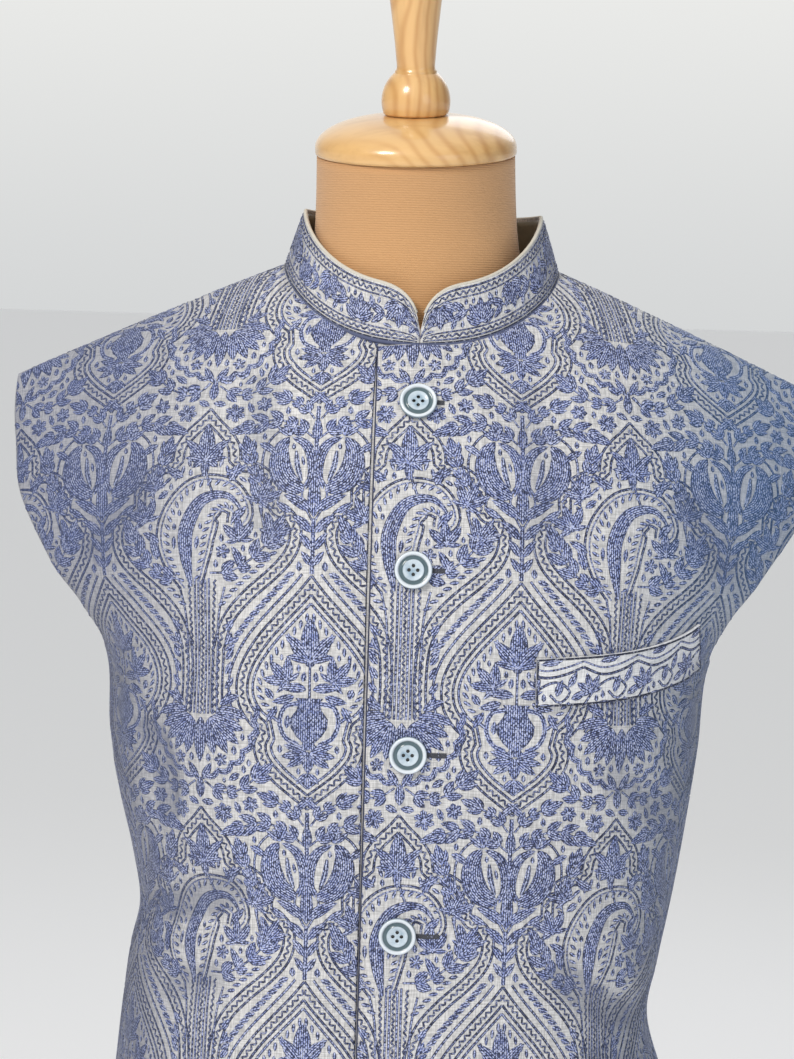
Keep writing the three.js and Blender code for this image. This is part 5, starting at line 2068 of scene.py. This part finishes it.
def tube(name, path, radius, material):
    """A round cord along a path, with closed ends."""
    way = np.gradient(path, axis=0)
    way /= np.linalg.norm(way, axis=1, keepdims=True)
    up = np.array([0.0, 0.0, 1.0])
    side = np.cross(way, up)
    weak = np.linalg.norm(side, axis=1) < 0.2
    side[weak] = np.cross(way[weak], np.array([0.0, 1.0, 0.0]))
    for k in range(1, len(side)):
        if side[k] @ side[k - 1] < 0:
            side[k] = -side[k]
    side /= np.linalg.norm(side, axis=1, keepdims=True)
    other = np.cross(way, side)
    angle = 2 * np.pi * np.arange(TUBE_SIDES) / TUBE_SIDES
    ring = side[:, None] * np.cos(angle)[None, :, None] + other[:, None] * np.sin(angle)[None, :, None]
    points, faces = lofted(list(path[:, None] + ring * radius))
    return mixed_mesh(name, points, faces, material)


rim = collar_points[-1] - collar_normals[-1] * (CLOTH / 2 - 0.35)
rim = rim - (0, 0, PIPING_RADIUS * 0.55)
piping = tube("collar_piping", rim[1:-1], PIPING_RADIUS, piping_material)
belongs(piping, "cloth")


EDGE_CORD = 0.9
SEAM_CORD = 1.4
SEAM_CORD_IN = 0.9
SEAM_CORD_DROP = 0.5

# A dark cord along the lap's edge: edge stitching, and a painted shadow in the gap at the edge
lap_edge = (front_left.points - front_left.normals)[: front_left.neck_index + 1, 0]
lap_cord = belongs(tube("lap_cord", lap_edge, EDGE_CORD, edge_stitch_and_shadow), "cloth")
# A cord round the collar's foot: it closes the gap under the collar, and its darker colour is painted shade
# there
seam_edge = seam_points - outward * SEAM_CORD_IN - (0, 0, SEAM_CORD_DROP)
seam_cord = belongs(tube("neck_seam_cord", seam_edge, SEAM_CORD, seam_thread_and_shade), "cloth")

BUTTONHOLE_SHOWN = (4.0, 7.0, 11.0, 13.0, 12.0)
HOLE_STITCHES = 26
HOLE_UNDER = 4  # how far a buttonhole runs on under its button
HOLE_HALF = 0.7
STITCH_HALF = 0.8
STITCH_FOOT = 0.32
STITCH_RISE = 0.38


def buttonhole(name, matrix, shown):
    """A worked slot beside a button: two rows of close stitches."""
    work_points = []
    faces = []
    total = 0
    right = Vector(matrix.col[0][:3])
    up = Vector(matrix.col[1][:3])
    centre = Vector(matrix.translation) / MM
    for k in range(HOLE_STITCHES):
        for row in (-1, 1):
            x = BUTTON_RADIUS - HOLE_UNDER + (shown + HOLE_UNDER) * k / (HOLE_STITCHES - 1)
            spot = centre + right * x + up * row * HOLE_HALF
            surface, normal = front_surface(np.array([spot.x]), np.array([spot.z]))
            base = surface[0] + normal[0] * STITCH_FOOT
            across = np.array(up) * STITCH_HALF
            along = np.array(right) * (shown + HOLE_UNDER) / (2 * HOLE_STITCHES + 4)
            lift = normal[0] * STITCH_RISE
            corners = [
                base - across - along, base - across + along, base + across + along, base + across - along,
                base - along + lift, base + along + lift,
            ]
            work_points += corners
            faces += [
                (total, total + 1, total + 5, total + 4), (total + 2, total + 3, total + 4, total + 5),
                (total + 1, total + 2, total + 5, total + 5), (total + 3, total, total + 4, total + 4),
            ]
            total += 6
    piece = mixed_mesh(name, np.array(work_points), np.array(faces), dark_thread)
    return belongs(piece, "cloth")


for number, (matrix, shown) in enumerate(zip(button_matrices, BUTTONHOLE_SHOWN), start=1):
    buttonhole(f"buttonhole_{number}", matrix, shown)


# Camera at the photo's angle
CAMERA_AT = (-0.007, -2.6, 0.8)
CAMERA_AIM = (-0.0102, 0.0, 0.633)
CAMERA_LENS = 147.3
CAMERA_ROLL = 1.7

camera_data = bpy.data.cameras.new("camera")
camera_data.lens = CAMERA_LENS
camera_data.sensor_width = 36
camera_data.clip_end = 50
camera = bpy.data.objects.new("camera", camera_data)
bpy.context.scene.collection.objects.link(camera)
look = Vector(CAMERA_AIM) - Vector(CAMERA_AT)
turn = look.to_track_quat("-Z", "Y").to_matrix().to_4x4()
turn = turn @ Matrix.Rotation(math.radians(CAMERA_ROLL), 4, "Z")
camera.matrix_world = Matrix.Translation(CAMERA_AT) @ turn
bpy.context.scene.camera = camera


# Floor and light
FLOOR_SIZE = 120
FLOOR_DROP = 0.0005

bpy.ops.mesh.primitive_plane_add(size=FLOOR_SIZE, location=(0, 0, -FLOOR_DROP))
floor = bpy.context.object
floor.name = "floor"
floor.data.materials.append(plain("floor", "FBFBFC", 0.9))

world = bpy.data.worlds.new("studio")
bpy.context.scene.world = world
bpy.context.scene.view_settings.view_transform = "Standard"
sky = Nodes(world)
way = sky.split(sky.node("ShaderNodeTexCoord").outputs["Generated"])
aside = sky.range(sky.math("ABSOLUTE", way[0]), 0.25, 0.85)
pale = sky.mix(sky.range(way[2], 0.12, -0.05), rgb("F3F3F0"), rgb("D1D3D4"))
background = sky.tree.nodes["Background"]
sky.feed(background.inputs[0], sky.mix(aside, pale, rgb("5F6878")))
background.inputs[1].default_value = 1.0


def soft_light(name, place, aim, size, power, code):
    """A round lamp of this size in metres and power in watts."""
    data = bpy.data.lights.new(name, "AREA")
    data.shape = "DISK"
    data.size = size
    data.energy = power
    data.color = rgb(code)[:3]
    light = bpy.data.objects.new(name, data)
    bpy.context.scene.collection.objects.link(light)
    way = Vector(aim) - Vector(place)
    light.matrix_world = Matrix.Translation(place) @ way.to_track_quat("-Z", "Y").to_matrix().to_4x4()


soft_light("key", (-1.5, -2.0, 2.3), (0, 0, 0.6), 0.9, 46, "FFF8EF")
soft_light("fill", (1.6, -2.2, 1.0), (0, 0, 0.6), 1.4, 6, "E8EFFF")
soft_light("rim", (0.6, 2.2, 2.0), (0, 0, 0.7), 1.4, 5, "F4F7FF")


# Sizes and areas of the cut cloth panels, and the area of the collar lining
def cut_size(panels):
    """Width, length and area, in metres, of panels cut side by side in one piece."""
    sizes = [panel.size() * MM for panel in panels]
    width = sum(float(size[0]) for size in sizes)
    length = max(float(size[1]) for size in sizes)
    return (width, length), sum(panel.area() for panel in panels) * MM ** 2


def grid_area(points):
    """Area in square metres of a grid of points."""
    p = points[1:, 1:] - points[:-1, :-1]
    q = points[:-1, 1:] - points[1:, :-1]
    return float(np.linalg.norm(np.cross(p, q), axis=-1).sum() / 2) * MM ** 2


left_cut, left_area = cut_size([front_left])
right_cut, right_area = cut_size([front_right])
back_cut, back_area = cut_size([back_left, back_right])
grid_area(band_grid(CLOTH + GAP, LINING_SET_BACK)[0])
